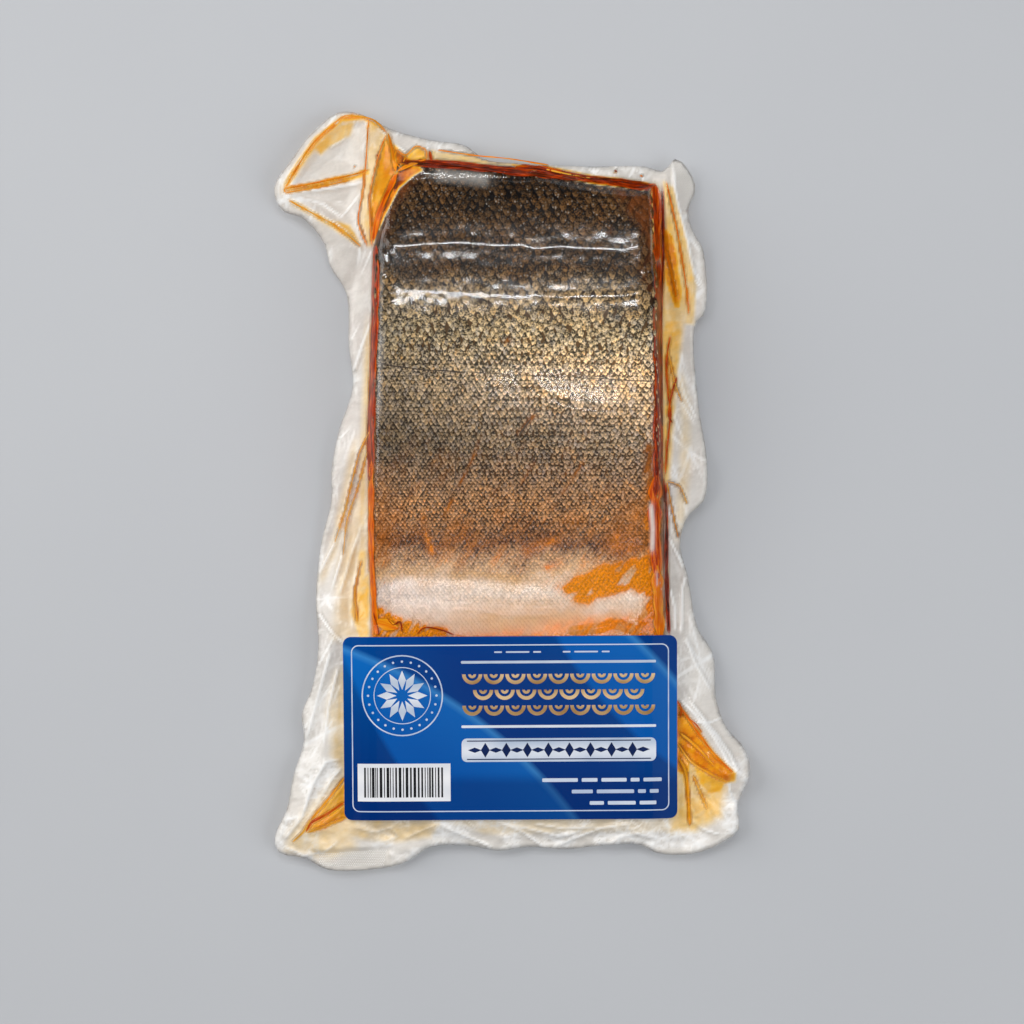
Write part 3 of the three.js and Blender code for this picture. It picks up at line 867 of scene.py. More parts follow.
# %% [markdown]
# ## Scales
#
# Salmon scales lie in slanting rows, overlapping like tiles with their free edge towards the belly as
# seen here. They are large over the loin at the right, small towards the back's left end and on the
# belly. Several thousand of them would be slow to model one by one, so one small plate of a few faces is
# made, and a geometry tree sets it on every point of a warped lattice, turns it to the skin, tilts its
# free edge up and sizes it from numbers kept on the points. The instances are made real at the end of the
# tree.

# %% The lattice that the scales sit on
SKIN_TOP_Y, LABEL_TOP_Y = 126, -57
FISH_FOOT_Y, FISH_LENGTH = -117, 242.5
RIGHT_GROWTH = 0.12
SKIN_MARGIN = 0.2 * MM
# mean and spread of a scale's half width and half length, as shares of the spacing
HALF_WIDTH, HALF_LENGTH = (0.53, 0.05), (1.18, 0.11)
# spacing along a row and between rows, in mm, at heights from the belly to the back
SPACING_AT = [-60, 6, 30, 52, 66, 80, 100, 126]
ALONG_ROW = [1.7, 1.75, 2.1, 2.3, 3.2, 3.7, 3.8, 3.0]
BETWEEN_ROWS = [1.1, 1.15, 1.4, 1.6, 2.3, 2.6, 2.6, 2.1]
ROW_SHIFT = 0.43

random = np.random.default_rng(7)
spots = []
row, y = 0, LABEL_TOP_Y
while y < SKIN_TOP_Y:
    step = np.interp(y, SPACING_AT, BETWEEN_ROWS)
    share = np.clip((y - FISH_FOOT_Y) / FISH_LENGTH, 0, 1)
    left, right = along_side(FISH_LEFT, share)[0] / MM, along_side(FISH_RIGHT, share)[0] / MM
    number = int(round((right - left) / np.interp(y, SPACING_AT, ALONG_ROW)))
    for column in range(number):
        place = (column + (ROW_SHIFT * row) % 1) / number
        x = left + (right - left) * place * (1 + RIGHT_GROWTH * place) / (1 + RIGHT_GROWTH)
        pitch = (right - left) / number * (1 + 2 * RIGHT_GROWTH * place) / (1 + RIGHT_GROWTH)
        # scales stray further from the lattice on the loin than on the belly
        stray = 0.06 + 0.07 * float(smooth((y - 40) / 25))
        across, along = random.normal(0, stray) * pitch, random.normal(0, stray) * step
        spots.append((x + across, y + along, pitch, step))
    y += step
    row += 1
spots = np.array(spots)
on_skin = fish_depth(spots[:, 0] * MM, spots[:, 1] * MM) > SKIN_MARGIN
spots = spots[on_skin & (spots[:, 1] > LABEL_TOP_Y)]

NEIGHBOURS, CLOSEST, LONGEST_PUSH = 6, 0.72, 0.3


def ease_apart(spots, rounds):
    """Pushes each spot away from neighbours nearer than the spacing that its place asks for."""
    places, pitch, step = spots[:, :2].copy(), spots[:, 2], spots[:, 3]
    for _ in range(rounds):
        tree = KDTree(len(places))
        for index, (x, y) in enumerate(places):
            tree.insert((x, y, 0), index)
        tree.balance()
        found = [tree.find_n((x, y, 0), NEIGHBOURS + 1)[1:] for x, y in places]
        near = np.array([[index for _, index, _ in neighbours] for neighbours in found])
        apart = places[:, None, :] - places[near]
        size = np.stack([pitch, 2 * step], 1)[:, None, :]
        reach = np.sqrt((apart ** 2 / size ** 2).sum(axis=2, keepdims=True)) + 1e-6
        push = np.clip(CLOSEST - reach, 0, LONGEST_PUSH) * apart / reach
        places += 0.5 * push.sum(axis=1)
    return places


eased = ease_apart(spots, 4)
spot_x, spot_y = eased[:, 0] * MM, eased[:, 1] * MM
spot_z = skin_height(spot_x, spot_y)
NUDGE = 1.5 * MM
slope_x = (skin_height(spot_x + NUDGE, spot_y) - skin_height(spot_x - NUDGE, spot_y)) / (2 * NUDGE)
slope_y = (skin_height(spot_x, spot_y + NUDGE) - skin_height(spot_x, spot_y - NUDGE)) / (2 * NUDGE)
spot_normal = np.column_stack([-slope_x, -slope_y, np.ones(len(spots))])


def laying_spots(name, places, normals, half_width, half_length):
    """Points with the sizes and the upward direction that the tree reads for each plate."""
    piece = new_mesh(name, places, [])
    store(piece, "half_width", half_width)
    store(piece, "half_length", half_length)
    upward = piece.data.attributes.new("upward", "FLOAT_VECTOR", "POINT")
    upward.data.foreach_set("vector", np.asarray(normals, np.float32).ravel())
    return piece


scale_spots = laying_spots(
    "scale_spots", np.column_stack([spot_x, spot_y, spot_z]), spot_normal,
    spots[:, 2] * random.normal(*HALF_WIDTH, len(spots)) * MM,
    spots[:, 3] * random.normal(*HALF_LENGTH, len(spots)) * MM,
)
store(scale_spots, "tone", random.random(len(spots)))
store(scale_spots, "hue", random.random(len(spots)))
print("scales:", len(spots))

# %% One scale: a low dome with a pointed free edge
RIM = 8


def scale_plate():
    """A leaf-shaped plate one unit wide and long, highest near its free edge, which points to -Y."""
    corners = []
    for reach, height in ((1.0, -0.55), (0.70, 0.55)):
        for step in range(RIM):
            angle = 2 * math.pi * step / RIM - math.pi / 2
            x = reach * math.cos(angle) * (1 - 0.34 * abs(math.sin(angle)))
            y = reach * math.sin(angle)
            corners.append((x, y, height - 0.22 * y))
    corners.append((0, -0.05, 1.0))
    faces = []
    for step in range(RIM):
        onward = (step + 1) % RIM
        faces.append((step, onward, RIM + onward, RIM + step))
        faces.append((RIM + step, RIM + onward, 2 * RIM))
    plate = new_mesh("scale_plate", corners, faces)
    shade_smooth(plate)
    store(plate, "rim", [1.0] * RIM + [0.45] * RIM + [0.0])
    store(plate, "free_edge", [0.5 - 0.45 * y for _, y, _ in corners])
    return plate


plate = scale_plate()
print("corners of one scale:", len(plate.data.vertices))

# %% Helpers for building trees
class Value:
    """A number inside a tree of nodes. Plain arithmetic on it adds the math nodes that work it out."""

    def __init__(self, tree, socket):
        self.tree = tree
        self.socket = socket

    def math(self, operation, *values):
        return Value(self.tree, add(
            self.tree, "ShaderNodeMath", dict(enumerate(values)), operation=operation).outputs[0])

    def __add__(self, other):
        return self.math("ADD", self, other)

    def __sub__(self, other):
        return self.math("SUBTRACT", self, other)

    def __rsub__(self, other):
        return self.math("SUBTRACT", other, self)

    def __mul__(self, other):
        return self.math("MULTIPLY", self, other)

    __radd__, __rmul__ = __add__, __mul__

    def at_most(self, other):
        return self.math("MINIMUM", self, other)

    def at_least(self, other):
        return self.math("MAXIMUM", self, other)

    def sine(self):
        return self.math("SINE", self)

    def fraction(self):
        return self.math("FRACT", self)

    def clamped(self):
        """The same sum or product, kept between 0 and 1."""
        self.socket.node.use_clamp = True
        return self

    def spread(self, low_in, high_in, low_out=0.0, high_out=1.0):
        """Maps one range to another, clamped and smooth."""
        ranges = {0: self, 1: low_in, 2: high_in, 3: low_out, 4: high_out}
        return Value(self.tree, add(
            self.tree, "ShaderNodeMapRange", ranges, interpolation_type="SMOOTHSTEP").outputs[0])


def connect(tree, socket, value):
    """Links an input to another node's output, or sets it to a plain value."""
    source = value.socket if isinstance(value, Value) else value
    if isinstance(source, bpy.types.NodeSocket):
        tree.links.new(source, socket)
    else:
        socket.default_value = source


def add(tree, kind, inputs=None, **settings):
    """Adds a node, gives it its settings, and sets or links its inputs by name or number."""
    node = tree.nodes.new(kind)
    for name, value in settings.items():
        setattr(node, name, value)
    for name, value in (inputs or {}).items():
        connect(tree, node.inputs[name], value)
    return node


def add_socket(tree, name, kind, default=None, output=False):
    """Gives a tree a named input or output of a kind such as Float."""
    direction = "OUTPUT" if output else "INPUT"
    socket = tree.interface.new_socket(name, in_out=direction, socket_type="NodeSocket" + kind)
    if default is not None:
        socket.default_value = default


def set_input(modifier, name, value):
    """Sets a tree's input on a modifier by the socket's identifier."""
    for item in modifier.node_group.interface.items_tree:
        if item.item_type == "SOCKET" and item.in_out == "INPUT" and item.name == name:
            modifier[item.identifier] = value


def grow(spots_piece, tree, name, **inputs):
    """Runs the tree on the spots and returns the result as a plain mesh piece."""
    modifier = spots_piece.modifiers.new("grow", "NODES")
    modifier.node_group = tree
    for key, value in inputs.items():
        set_input(modifier, key, value)
    bpy.context.view_layer.update()
    evaluated = spots_piece.evaluated_get(bpy.context.evaluated_depsgraph_get())
    mesh = bpy.data.meshes.new_from_object(evaluated)
    spots_piece.modifiers.remove(modifier)
    bpy.data.objects.remove(spots_piece)
    piece = bpy.data.objects.new(name, mesh)
    mesh.name = name
    collection.objects.link(piece)
    return piece


# %% The tree that lays plates on points
def laying_tree():
    """Sets the plate on each point, sized, turned and tilted by its numbers, and makes the copies real."""
    tree = bpy.data.node_groups.new("lay plates", "GeometryNodeTree")
    for name, kind, default in (
        ("points", "Geometry", None), ("plate", "Object", None), ("material", "Material", None),
        ("relief", "Float", 0.25), ("lean", "Float", 0.1), ("uneven", "Float", 0.1), ("seed", "Int", 3),
    ):
        add_socket(tree, name, kind, default)
    add_socket(tree, "laid", "Geometry", output=True)
    given = add(tree, "NodeGroupInput").outputs

    def stored(name, kind="FLOAT"):
        node = add(tree, "GeometryNodeInputNamedAttribute", {"Name": name}, data_type=kind)
        return Value(tree, node.outputs["Attribute"])

    normal = stored("upward", "FLOAT_VECTOR")
    upright = add(tree, "FunctionNodeAlignRotationToVector", {"Vector": normal}, axis="Z")
    uneven = Value(tree, given["uneven"])
    turn = add(tree, "FunctionNodeRandomValue", {
        2: uneven * -1.0, 3: uneven, "Seed": given["seed"]}, data_type="FLOAT")
    tilt = add(tree, "ShaderNodeCombineXYZ", {0: given["lean"], 2: turn.outputs[1]})
    leaning = add(tree, "FunctionNodeEulerToRotation", {0: tilt.outputs[0]})
    rotation = add(tree, "FunctionNodeRotateRotation", {
        0: upright.outputs[0], 1: leaning.outputs[0]}, rotation_space="LOCAL")
    half_width = stored("half_width")
    size = add(tree, "ShaderNodeCombineXYZ", {
        0: half_width, 1: stored("half_length"), 2: half_width * Value(tree, given["relief"])})
    laid = add(tree, "GeometryNodeInstanceOnPoints", {
        "Points": given["points"],
        "Instance": add(tree, "GeometryNodeObjectInfo", {"Object": given["plate"]}).outputs["Geometry"],
        "Rotation": rotation.outputs[0],
        "Scale": size.outputs[0],
    })
    real = add(tree, "GeometryNodeRealizeInstances", {0: laid.outputs[0]})
    painted = add(tree, "GeometryNodeSetMaterial", {0: real.outputs[0], "Material": given["material"]})
    add(tree, "NodeGroupOutput", {0: painted.outputs[0]})
    return tree


lay_plates = laying_tree()
print("laying tree:", len(lay_plates.nodes), "nodes")

# %% [markdown]
# ## Materials
#
# Several finishes share the same effects, so these are node groups: a fine noise of mottle and painted
# glints, and the colour of the salmon's skin from back to belly, which both the scales and the skin between
# them need. Numbers in a tree are wrapped, so that a material reads as plain arithmetic.

# %% Colours and shader helpers
def colour(*display):
    """A display colour from 0 to 255 as the linear light that nodes work in."""
    shares = [value / 255 for value in display]
    linear = [share / 12.92 if share <= 0.04045 else ((share + 0.055) / 1.055) ** 2.4 for share in shares]
    return (*linear, 1.0)


def new_material(name):
    material = bpy.data.materials.new(name)
    material.use_nodes = True
    material.node_tree.nodes.clear()
    return material, material.node_tree


def end_material(material, inputs):
    """Ends a material with one Principled shader."""
    shader = add(material.node_tree, "ShaderNodeBsdfPrincipled", inputs)
    add(material.node_tree, "ShaderNodeOutputMaterial", {"Surface": shader.outputs[0]})
    return material


def ramp(tree, factor, stops):
    """A colour ramp from (place, colour) stops."""
    node = add(tree, "ShaderNodeValToRGB", {"Fac": factor})
    while len(node.color_ramp.elements) < len(stops):
        node.color_ramp.elements.new(0.5)
    for element, (place, value) in zip(node.color_ramp.elements, stops):
        element.position = place
        element.color = value
    return node.outputs["Color"]


def blend(tree, factor, a, b, mode="MIX"):
    """Two colours mixed by a factor."""
    settings = {"data_type": "RGBA", "blend_type": mode, "clamp_factor": True}
    return add(tree, "ShaderNodeMix", {0: factor, 6: a, 7: b}, **settings).outputs[2]


def times(tree, a, b):
    """A colour multiplied by another colour or by a number."""
    if isinstance(b, Value):
        b = add(tree, "ShaderNodeCombineColor", {0: b, 1: b, 2: b}).outputs[0]
    return blend(tree, 1.0, a, b, "MULTIPLY")


def attribute(tree, name):
    """A number that is stored on the corners of the mesh."""
    return Value(tree, add(tree, "ShaderNodeAttribute", attribute_name=name).outputs["Fac"])


def object_place(tree):
    return add(tree, "ShaderNodeTexCoord").outputs["Object"]


def object_axis(tree, axis):
    """How far along one axis a place is, in metres."""
    return Value(tree, add(tree, "ShaderNodeSeparateXYZ", {0: object_place(tree)}).outputs[axis])


def noise_at(tree, place, scale, detail, roughness):
    inputs = {"Vector": place, "Scale": scale, "Detail": detail, "Roughness": roughness}
    return Value(tree, add(tree, "ShaderNodeTexNoise", inputs).outputs["Fac"])


def object_noise(tree, scale, detail=3.0, roughness=0.5, stretch=(1, 1, 1), turn=0.0, shift=(0, 0, 0)):
    """Noise that stays on the piece, stretched, then turned and shifted."""
    inputs = {"Vector": object_place(tree), "Scale": stretch, "Rotation": (0, 0, turn), "Location": shift}
    mapped = add(tree, "ShaderNodeMapping", inputs, vector_type="TEXTURE").outputs[0]
    return noise_at(tree, mapped, scale, detail, roughness)


def bump(tree, height, strength, distance):
    """A normal that follows a height."""
    return add(tree, "ShaderNodeBump", {
        "Height": height, "Strength": strength, "Distance": distance}).outputs[0]


# %% The skin's colours from belly to back
# Places are in mm towards the back. The ramp runs from the label's edge to the back's edge.
SKIN_BELLY, SKIN_BACK = -60, 125
SKIN_STOPS = [
    (-60, colour(184, 132, 76)),
    (-50, colour(192, 146, 86)),
    (-38, colour(218, 204, 193)),
    (-30, colour(204, 170, 130)),
    (-20, colour(120, 75, 36)),
    (-8, colour(166, 127, 90)),
    (6, colour(148, 123, 101)),
    (18, colour(134, 118, 101)),
    (30, colour(164, 145, 123)),
    (44, colour(184, 165, 140)),
    (58, colour(168, 154, 130)),
    (72, colour(148, 128, 98)),
    (84, colour(76, 54, 30)),
    (98, colour(76, 54, 30)),
    (110, colour(70, 49, 26)),
    (125, colour(68, 46, 24)),
]


def skin_group():
    """Puts out the skin's colour with painted sheen but no oil, the oil's share and colour, the pale
    belly's share.
    """
    tree = bpy.data.node_groups.new("salmon skin colour", "ShaderNodeTree")
    for name, kind in (("Colour", "Color"), ("Stained", "Float"), ("Amber", "Color"), ("Belly", "Float")):
        add_socket(tree, name, kind, output=True)
    x, y = object_axis(tree, "X"), object_axis(tree, "Y")
    # the zones' borders waver by some millimetres
    height = y + (object_noise(tree, 55, 4, 0.6, (1, 0.7, 1), 0.9) - 0.5) * 0.022
    share = add(tree, "ShaderNodeMapRange", {0: height, 1: SKIN_BELLY * MM, 2: SKIN_BACK * MM}).outputs[0]
    stops = [((at - SKIN_BELLY) / (SKIN_BACK - SKIN_BELLY), value) for at, value in SKIN_STOPS]
    # painted sheen makes the flank brighter to the right, and the back has darker patches
    flank = y.spread(-0.002, 0.02) * y.spread(0.078, 0.055)
    painted_sheen = (x * 9.5 * flank).at_most(y.spread(0.06, 0.035, 0.06, 0.5))
    patches = object_noise(tree, 46, 3, 0.55, (1.3, 1, 1), 0, (0.02, 0, 0)).spread(0.34, 0.62, -0.42, 0.2)
    shade = 1.0 + painted_sheen + patches * y.spread(0.06, 0.085)
    # painted sheen: the pale belly turns lavender-white towards its left side
    painted_belly_sheen = height.spread(-0.026, -0.036) * x.spread(0.0, -0.045, 0.0, 0.5)
    base = blend(tree, painted_belly_sheen, times(tree, ramp(tree, share, stops), shade), colour(208, 198, 198))
    # oil has soaked into slanting rows between the scales as thin veins, and more widely towards the belly
    fine = object_noise(tree, 430, 2, 0.5, (0.32, 3.2, 1), math.radians(-33))
    broad = object_noise(tree, 150, 3, 0.55, (0.5, 1.5, 1), math.radians(-38))
    clouds = object_noise(tree, 42, 3, 0.5, (1, 1, 1), 0, (0.013, 0.02, 0))
    low_side = y.spread(0.050, -0.010)
    reach = low_side * y.spread(-0.046, -0.026)
    veins = (fine - (0.78 - reach * 0.135)).spread(-0.03, 0.06) * low_side
    wash = (broad * 0.6 + clouds * 0.5).spread(0.56, 0.72) * (reach * 0.5)
    stained = (veins * 0.85).at_least(wash).at_least(attribute(tree, "stain"))
    cloudy = clouds.spread(0.35, 0.65)
    brown = blend(tree, cloudy, colour(140, 78, 22), colour(166, 100, 34))
    gold = blend(tree, cloudy, colour(214, 121, 0), colour(228, 139, 8))
    brown = blend(tree, y.spread(0.060, 0.085), brown, colour(112, 62, 22))
    amber = blend(tree, y.spread(0.004, -0.028), brown, gold)
    add(tree, "NodeGroupOutput", {0: base, 1: stained, 2: amber, 3: height.spread(-0.017, -0.033)})
    return tree


def glint_group():
    """Mottle of wet skin: puts out light and dark, a bump height, a mask of painted glints and a drift of
    hue.
    """
    tree = bpy.data.node_groups.new("wet mottle", "ShaderNodeTree")
    add_socket(tree, "Size", "Float", 900.0)
    for name in ("Mottle", "Height", "Specks", "Drift"):
        add_socket(tree, name, "Float", output=True)
    size = Value(tree, add(tree, "NodeGroupInput").outputs["Size"])
    place = object_place(tree)
    coarse = noise_at(tree, place, size, 3.0, 0.62)
    cells = add(tree, "ShaderNodeTexVoronoi", {"Vector": place, "Scale": size * 0.62}).outputs
    lucky = add(tree, "ShaderNodeSeparateColor", {0: cells["Color"]}).outputs
    # painted glints: bright specks in the middle of some cells
    painted_glints = Value(tree, cells["Distance"]).spread(0.45, 0.15) * Value(tree, lucky[0]).spread(0.35, 0.85)
    add(tree, "NodeGroupOutput", {0: coarse.spread(0.30, 0.72), 1: coarse, 2: painted_glints, 3: lucky[1]})
    return tree


def use_group(tree, group, **inputs):
    """Places a group. Its colours come back as sockets and its numbers as values, by name."""
    outputs = add(tree, "ShaderNodeGroup", inputs, node_tree=group).outputs
    return {item.name: item if item.type == "RGBA" else Value(tree, item) for item in outputs}


skin_colours, wet_glints = skin_group(), glint_group()
print("shader groups:", skin_colours.name, "and", wet_glints.name)

# %% Skin, scales and flesh
SCALE_HUES = [
    (0.0, colour(220, 228, 248)),
    (0.25, colour(238, 240, 244)),
    (0.5, colour(252, 249, 238)),
    (0.75, colour(255, 248, 228)),
    (0.92, colour(255, 236, 202)),
    (1.0, colour(255, 222, 166)),
]


def scale_material():
    """A scale: a grey-olive mottled centre, a dark sunk rim, and a free edge with painted highlights and
    glints.
    """
    material, tree = new_material("salmon scales")
    skin = use_group(tree, skin_colours)
    wet = use_group(tree, wet_glints, Size=1350.0)
    rim, free_edge, tone, hue = (attribute(tree, name) for name in ("rim", "free_edge", "tone", "hue"))
    y = object_axis(tree, "Y")
    pale, stained = skin["Belly"], skin["Stained"]
    # tone and mottle swing the brightness, less on the pale belly than on the dark back
    calm = 1.0 - pale * 0.8
    grain = 1.8 + y.spread(0.030, 0.050) * 0.8
    # painted highlight on the free edge, and painted shade on the root under the next scale
    painted_tip_light = free_edge.spread(0.42, 0.72) * rim.spread(0.85, 0.45)
    swing = (tone - 0.5) * 1.1 + (wet["Mottle"] - 0.45) * grain + (painted_tip_light - 0.38) * 1.3
    light = (1.04 + swing * calm).at_least(0.12)
    hued = times(tree, skin["Colour"], ramp(tree, hue * 0.6 + wet["Drift"] * 0.4, SCALE_HUES))
    toned = times(tree, blend(tree, calm, skin["Colour"], hued), light)
    edge = rim.spread(0.42, 0.96)
    rim_shade = blend(tree, y.spread(0.055, 0.08), colour(98, 76, 56), colour(60, 44, 30))
    shaded = blend(tree, edge * (1.0 - pale * 0.65), toned, times(tree, toned, rim_shade))
    # oil lies deepest at the rims, and covers the scale only where the stain is strong
    oil_share = (stained * (0.30 + rim * 0.62)).at_least(stained.spread(0.66, 1.0))
    # on the pale belly the scales' rims stay pale under the oil, as a fine mesh
    streaked = times(tree, skin["Amber"], 0.62 + wet["Mottle"] * 0.7)
    oily = blend(tree, edge * pale * 0.25, streaked, colour(236, 172, 66))
    soaked = blend(tree, oil_share, shaded, oily)
    # painted glints: near-white specks, most on the free edge and fewer where oil stains the scale
    shine = (0.3 + free_edge.spread(0.45, 0.9) * 0.7) * wet["Specks"] * (0.8 - stained * 0.7)
    return end_material(material, {
        "Base Color": blend(tree, shine, soaked, blend(tree, 0.5, skin["Colour"], colour(238, 234, 226))),
        "Roughness": 0.36 + tone * 0.14,
        "Normal": bump(tree, wet["Height"], 0.3, 0.0004),
        "Specular IOR Level": 0.08,
    })


def skin_material():
    """The skin between the scales: darker and browner than they are, with oil where they are stained."""
    material, tree = new_material("salmon skin")
    skin = use_group(tree, skin_colours)
    wet = use_group(tree, wet_glints, Size=700.0)
    on_back = object_axis(tree, "Y").spread(0.062, 0.078)
    dark = times(tree, skin["Colour"], blend(tree, on_back, colour(150, 128, 104), colour(70, 50, 32)))
    base = blend(tree, skin["Belly"] * 0.88, dark, skin["Colour"])
    return end_material(material, {
        "Base Color": blend(tree, skin["Stained"] * 0.85, base, skin["Amber"]),
        "Roughness": 0.4,
        "Normal": bump(tree, wet["Height"], 0.3, 0.0005),
        "Specular IOR Level": 0.08,
    })


def flesh_material():
    """Cut flesh: translucent orange with pale fat lines that bend between the flakes."""
    material, tree = new_material("salmon flesh")
    turned = add(tree, "ShaderNodeMapping", {"Vector": object_place(tree), "Rotation": (0.5, 0.2, 0.6)})
    bands = Value(tree, add(tree, "ShaderNodeTexWave", {
        "Vector": turned.outputs[0], "Scale": 42.0, "Distortion": 7.0, "Detail": 2.0, "Detail Scale": 0.7,
    }, bands_direction="Y").outputs["Fac"])
    meat = blend(tree, object_noise(tree, 30, 2), colour(198, 84, 34), colour(226, 116, 56))
    return end_material(material, {
        "Base Color": blend(tree, bands.spread(0.80, 0.97) * 0.7, meat, colour(240, 178, 132)),
        "Roughness": 0.34,
        "Normal": bump(tree, bands, 0.25, 0.0008),
        "Subsurface Weight": 0.25,
        "Subsurface Radius": (0.004, 0.0015, 0.0006),
        "Subsurface Scale": 1.0,
    })


salmon_scales, salmon_skin, salmon_flesh = scale_material(), skin_material(), flesh_material()

# %% Lay the scales and give the block its two finishes
scales = grow(
    scale_spots, lay_plates, "salmon_scales",
    plate=plate, relief=0.3, lean=0.06, uneven=0.16, seed=5, material=salmon_scales,
)
bpy.data.objects.remove(plate)
print("scale triangles:", sum(len(face.vertices) - 2 for face in scales.data.polygons))

# Further oil stains on the skin as fields: outline, softness, strength
STAIN_FIELDS = [
    ([(50.5, 18), (56, 18), (57, -57), (51, -57), (50.6, -44), (51.6, -24), (49, -10)], 4.5, 1.15),
    ([(-24, -53), (-10, -53), (6, -51), (20, -48), (36, -47), (56, -46), (56, -57), (-24, -57)], 5.0, 0.8),
    ([(-54, -12), (-49, -16), (-45, -26), (-50, -30), (-54, -30)], 3.4, 0.45),
    ([(-54, 14), (-47, 4), (-40, -8), (-44, -22), (-54, -20)], 9.0, 0.5),
    ([(56, 10), (48, 0), (38, -10), (34, -22), (42, -26), (56, -26)], 9.0, 0.55),
    ([(-44, 125), (-33, 123), (-36, 117), (-44, 108), (-48, 94), (-53, 94)], 3.4, 0.7),
    ([(38, 115), (55, 112), (55, 84), (51.5, 84), (49, 100), (42, 107)], 5.0, 0.95),
]
# and as strokes: points, half width, strength
STAIN_STROKES = [
    ([(4, -24), (12, -20), (19, -18)], 3.0, 0.9),
    ([(12, -29), (20, -27)], 2.4, 0.7),
    ([(-29, -26), (-32, -18), (-34, -8)], 2.0, 0.9),
    ([(-22, -2), (-26, -10)], 1.3, 0.8),
    ([(-21, 0), (-15, 12), (-12, 20)], 1.0, 0.9),
    ([(2, 21), (6, 26), (9, 29)], 1.3, 1.0),
    ([(-3, 56), (0, 57)], 1.5, 1.0),
    ([(3, 2), (7, 9), (9, 12)], 1.0, 0.8),
    ([(18, -2), (25, 8), (28, 13)], 1.0, 0.8),
    ([(-2, -20), (-8, -28)], 1.6, 0.7),
    ([(-34, 4), (-40, -4)], 1.2, 0.7),
    ([(54, 42), (54, 18)], 2.0, 0.8),
    ([(-52, 34), (-52.5, 10), (-52, -14)], 1.6, 0.8),
    ([(36.5, 98.5), (37.5, 98)], 1.6, 0.9),
    ([(48, 88), (50, 80), (53, 74)], 2.0, 0.5),
]


def stain_skin(piece):
    """Keeps how far oil covers each corner of a skin piece, with borders ragged along the scale rows."""
    corners = np.array([vert.co[:2] for vert in piece.data.vertices])
    x, y = corners[:, 0], corners[:, 1]
    ragged = 0.1 + 1.2 * noise(x - 0.65 * y, 0.35 * y, 1.5, 81) + 0.7 * noise(x, y, 6, 85)
    value = np.zeros(len(corners))
    for points, half_width, strength in STAIN_STROKES:
        value = np.maximum(value, strength * stroke(x, y, points, half_width * 1.25))
    for outline, softness, strength in WET_STAINS + STAIN_FIELDS:
        value = np.maximum(value, strength * area(x, y, outline, softness))
    store(piece, "stain", np.clip(value * ragged, 0, 1))


stain_skin(scales)
stain_skin(salmon)
salmon.data.materials.append(salmon_skin)
salmon.data.materials.append(salmon_flesh)
# the cut sides are flesh, up to where the skin wraps over the back's edge
FLESH_SHARE, FLESH_END = 0.55, 112 * MM
for face in salmon.data.polygons:
    x, y, z = face.center
    on_side = z < FLESH_SHARE * float(skin_height(x, y)) or face.normal.z < -0.5
    face.material_index = 1 if on_side and y < FLESH_END else 0

# %% [markdown]
# ## Oil in the folds
#
# Smoked salmon gives off amber oil, which the vacuum drives into every fold. Each pool is a lens: a
# ribbon that follows its line, as wide as listed and pointed at its ends, with its upper side just under
# the film and a rounded lower side. The depth number sets its colour in the material.

# %% Make the pools
def smooth_path(points, step):
    """Even points on a smooth curve through given ones, both in mm."""
    points = np.array(points, float)
    padded = np.vstack([2 * points[0] - points[1], points, 2 * points[-1] - points[-2]])
    curve = []
    for index in range(1, len(padded) - 2):
        before, start, end, after = padded[index - 1:index + 3]
        pieces = max(2, int(np.hypot(*(end - start)) / step))
        for t in np.arange(pieces) / pieces:
            curve.append(0.5 * (
                2 * start + (end - before) * t + (2 * before - 5 * start + 4 * end - after) * t ** 2
                + (3 * start - before - 3 * end + after) * t ** 3
            ))
    curve.append(points[-1])
    return np.array(curve)


# half the number of sides of a lens, and its step along the line in mm
LENS, LENS_STEP = 6, 0.8
EDGE_DROP, DEEPEST_SAG = 0.05 * MM, 0.9 * MM
OIL_GAP, OIL_THICKNESS = 0.22 * MM, 0.25 * MM


def lens_ribbon(points, half_width, depth_share, seed, heights, gap, thickness):
    """One lens along a line: its corners in metres, its faces, and the numbers of each corner."""
    line = smooth_path(points, LENS_STEP)
    heading = np.gradient(line, axis=0)
    heading /= np.hypot(*heading.T)[:, None]
    side = np.column_stack([-heading[:, 1], heading[:, 0]])
    share = np.linspace(0, 1, len(line))
    to_end = np.minimum(share, 1 - share) * len(line) * LENS_STEP
    ends = np.clip(to_end / (2.2 * half_width + 0.6), 0.05, 1)
    uneven = 0.62 + 0.76 * noise(line[:, 0] * MM, line[:, 1] * MM, 4.2, seed)
    widths = half_width * np.sqrt(ends) * uneven
    corners = []
    numbers = {"oil_depth": [], "edge": [], "run": [], "cross": []}
    for index, (place, out, reach) in enumerate(zip(line, side, widths)):
        for step in range(2 * LENS):
            across = math.cos(math.pi * step / LENS)
            x, y = (place + out * reach * across) * MM
            fall = 1 - across ** 2
            sag = thickness * fall if step > LENS else 0
            corners.append((x, y, float(read_map(heights, x, y)) - gap - sag - EDGE_DROP * (1 - fall)))
            numbers["oil_depth"].append(depth_share * (0.7 + 0.3 * fall))
            numbers["edge"].append(1 - fall)
            numbers["run"].append(LENS_STEP * index + 40 * (seed % 25))
            numbers["cross"].append(reach * across)
    ring = 2 * LENS
    faces = []
    for index in range(len(line) - 1):
        for step in range(ring):
            a, b = index * ring + step, index * ring + (step + 1) % ring
            faces.append((a, b, b + ring, a + ring))
    last = (len(line) - 1) * ring
    faces.append(tuple(range(ring))[::-1])
    faces.append(tuple(range(last, last + ring)))
    return corners, faces, numbers


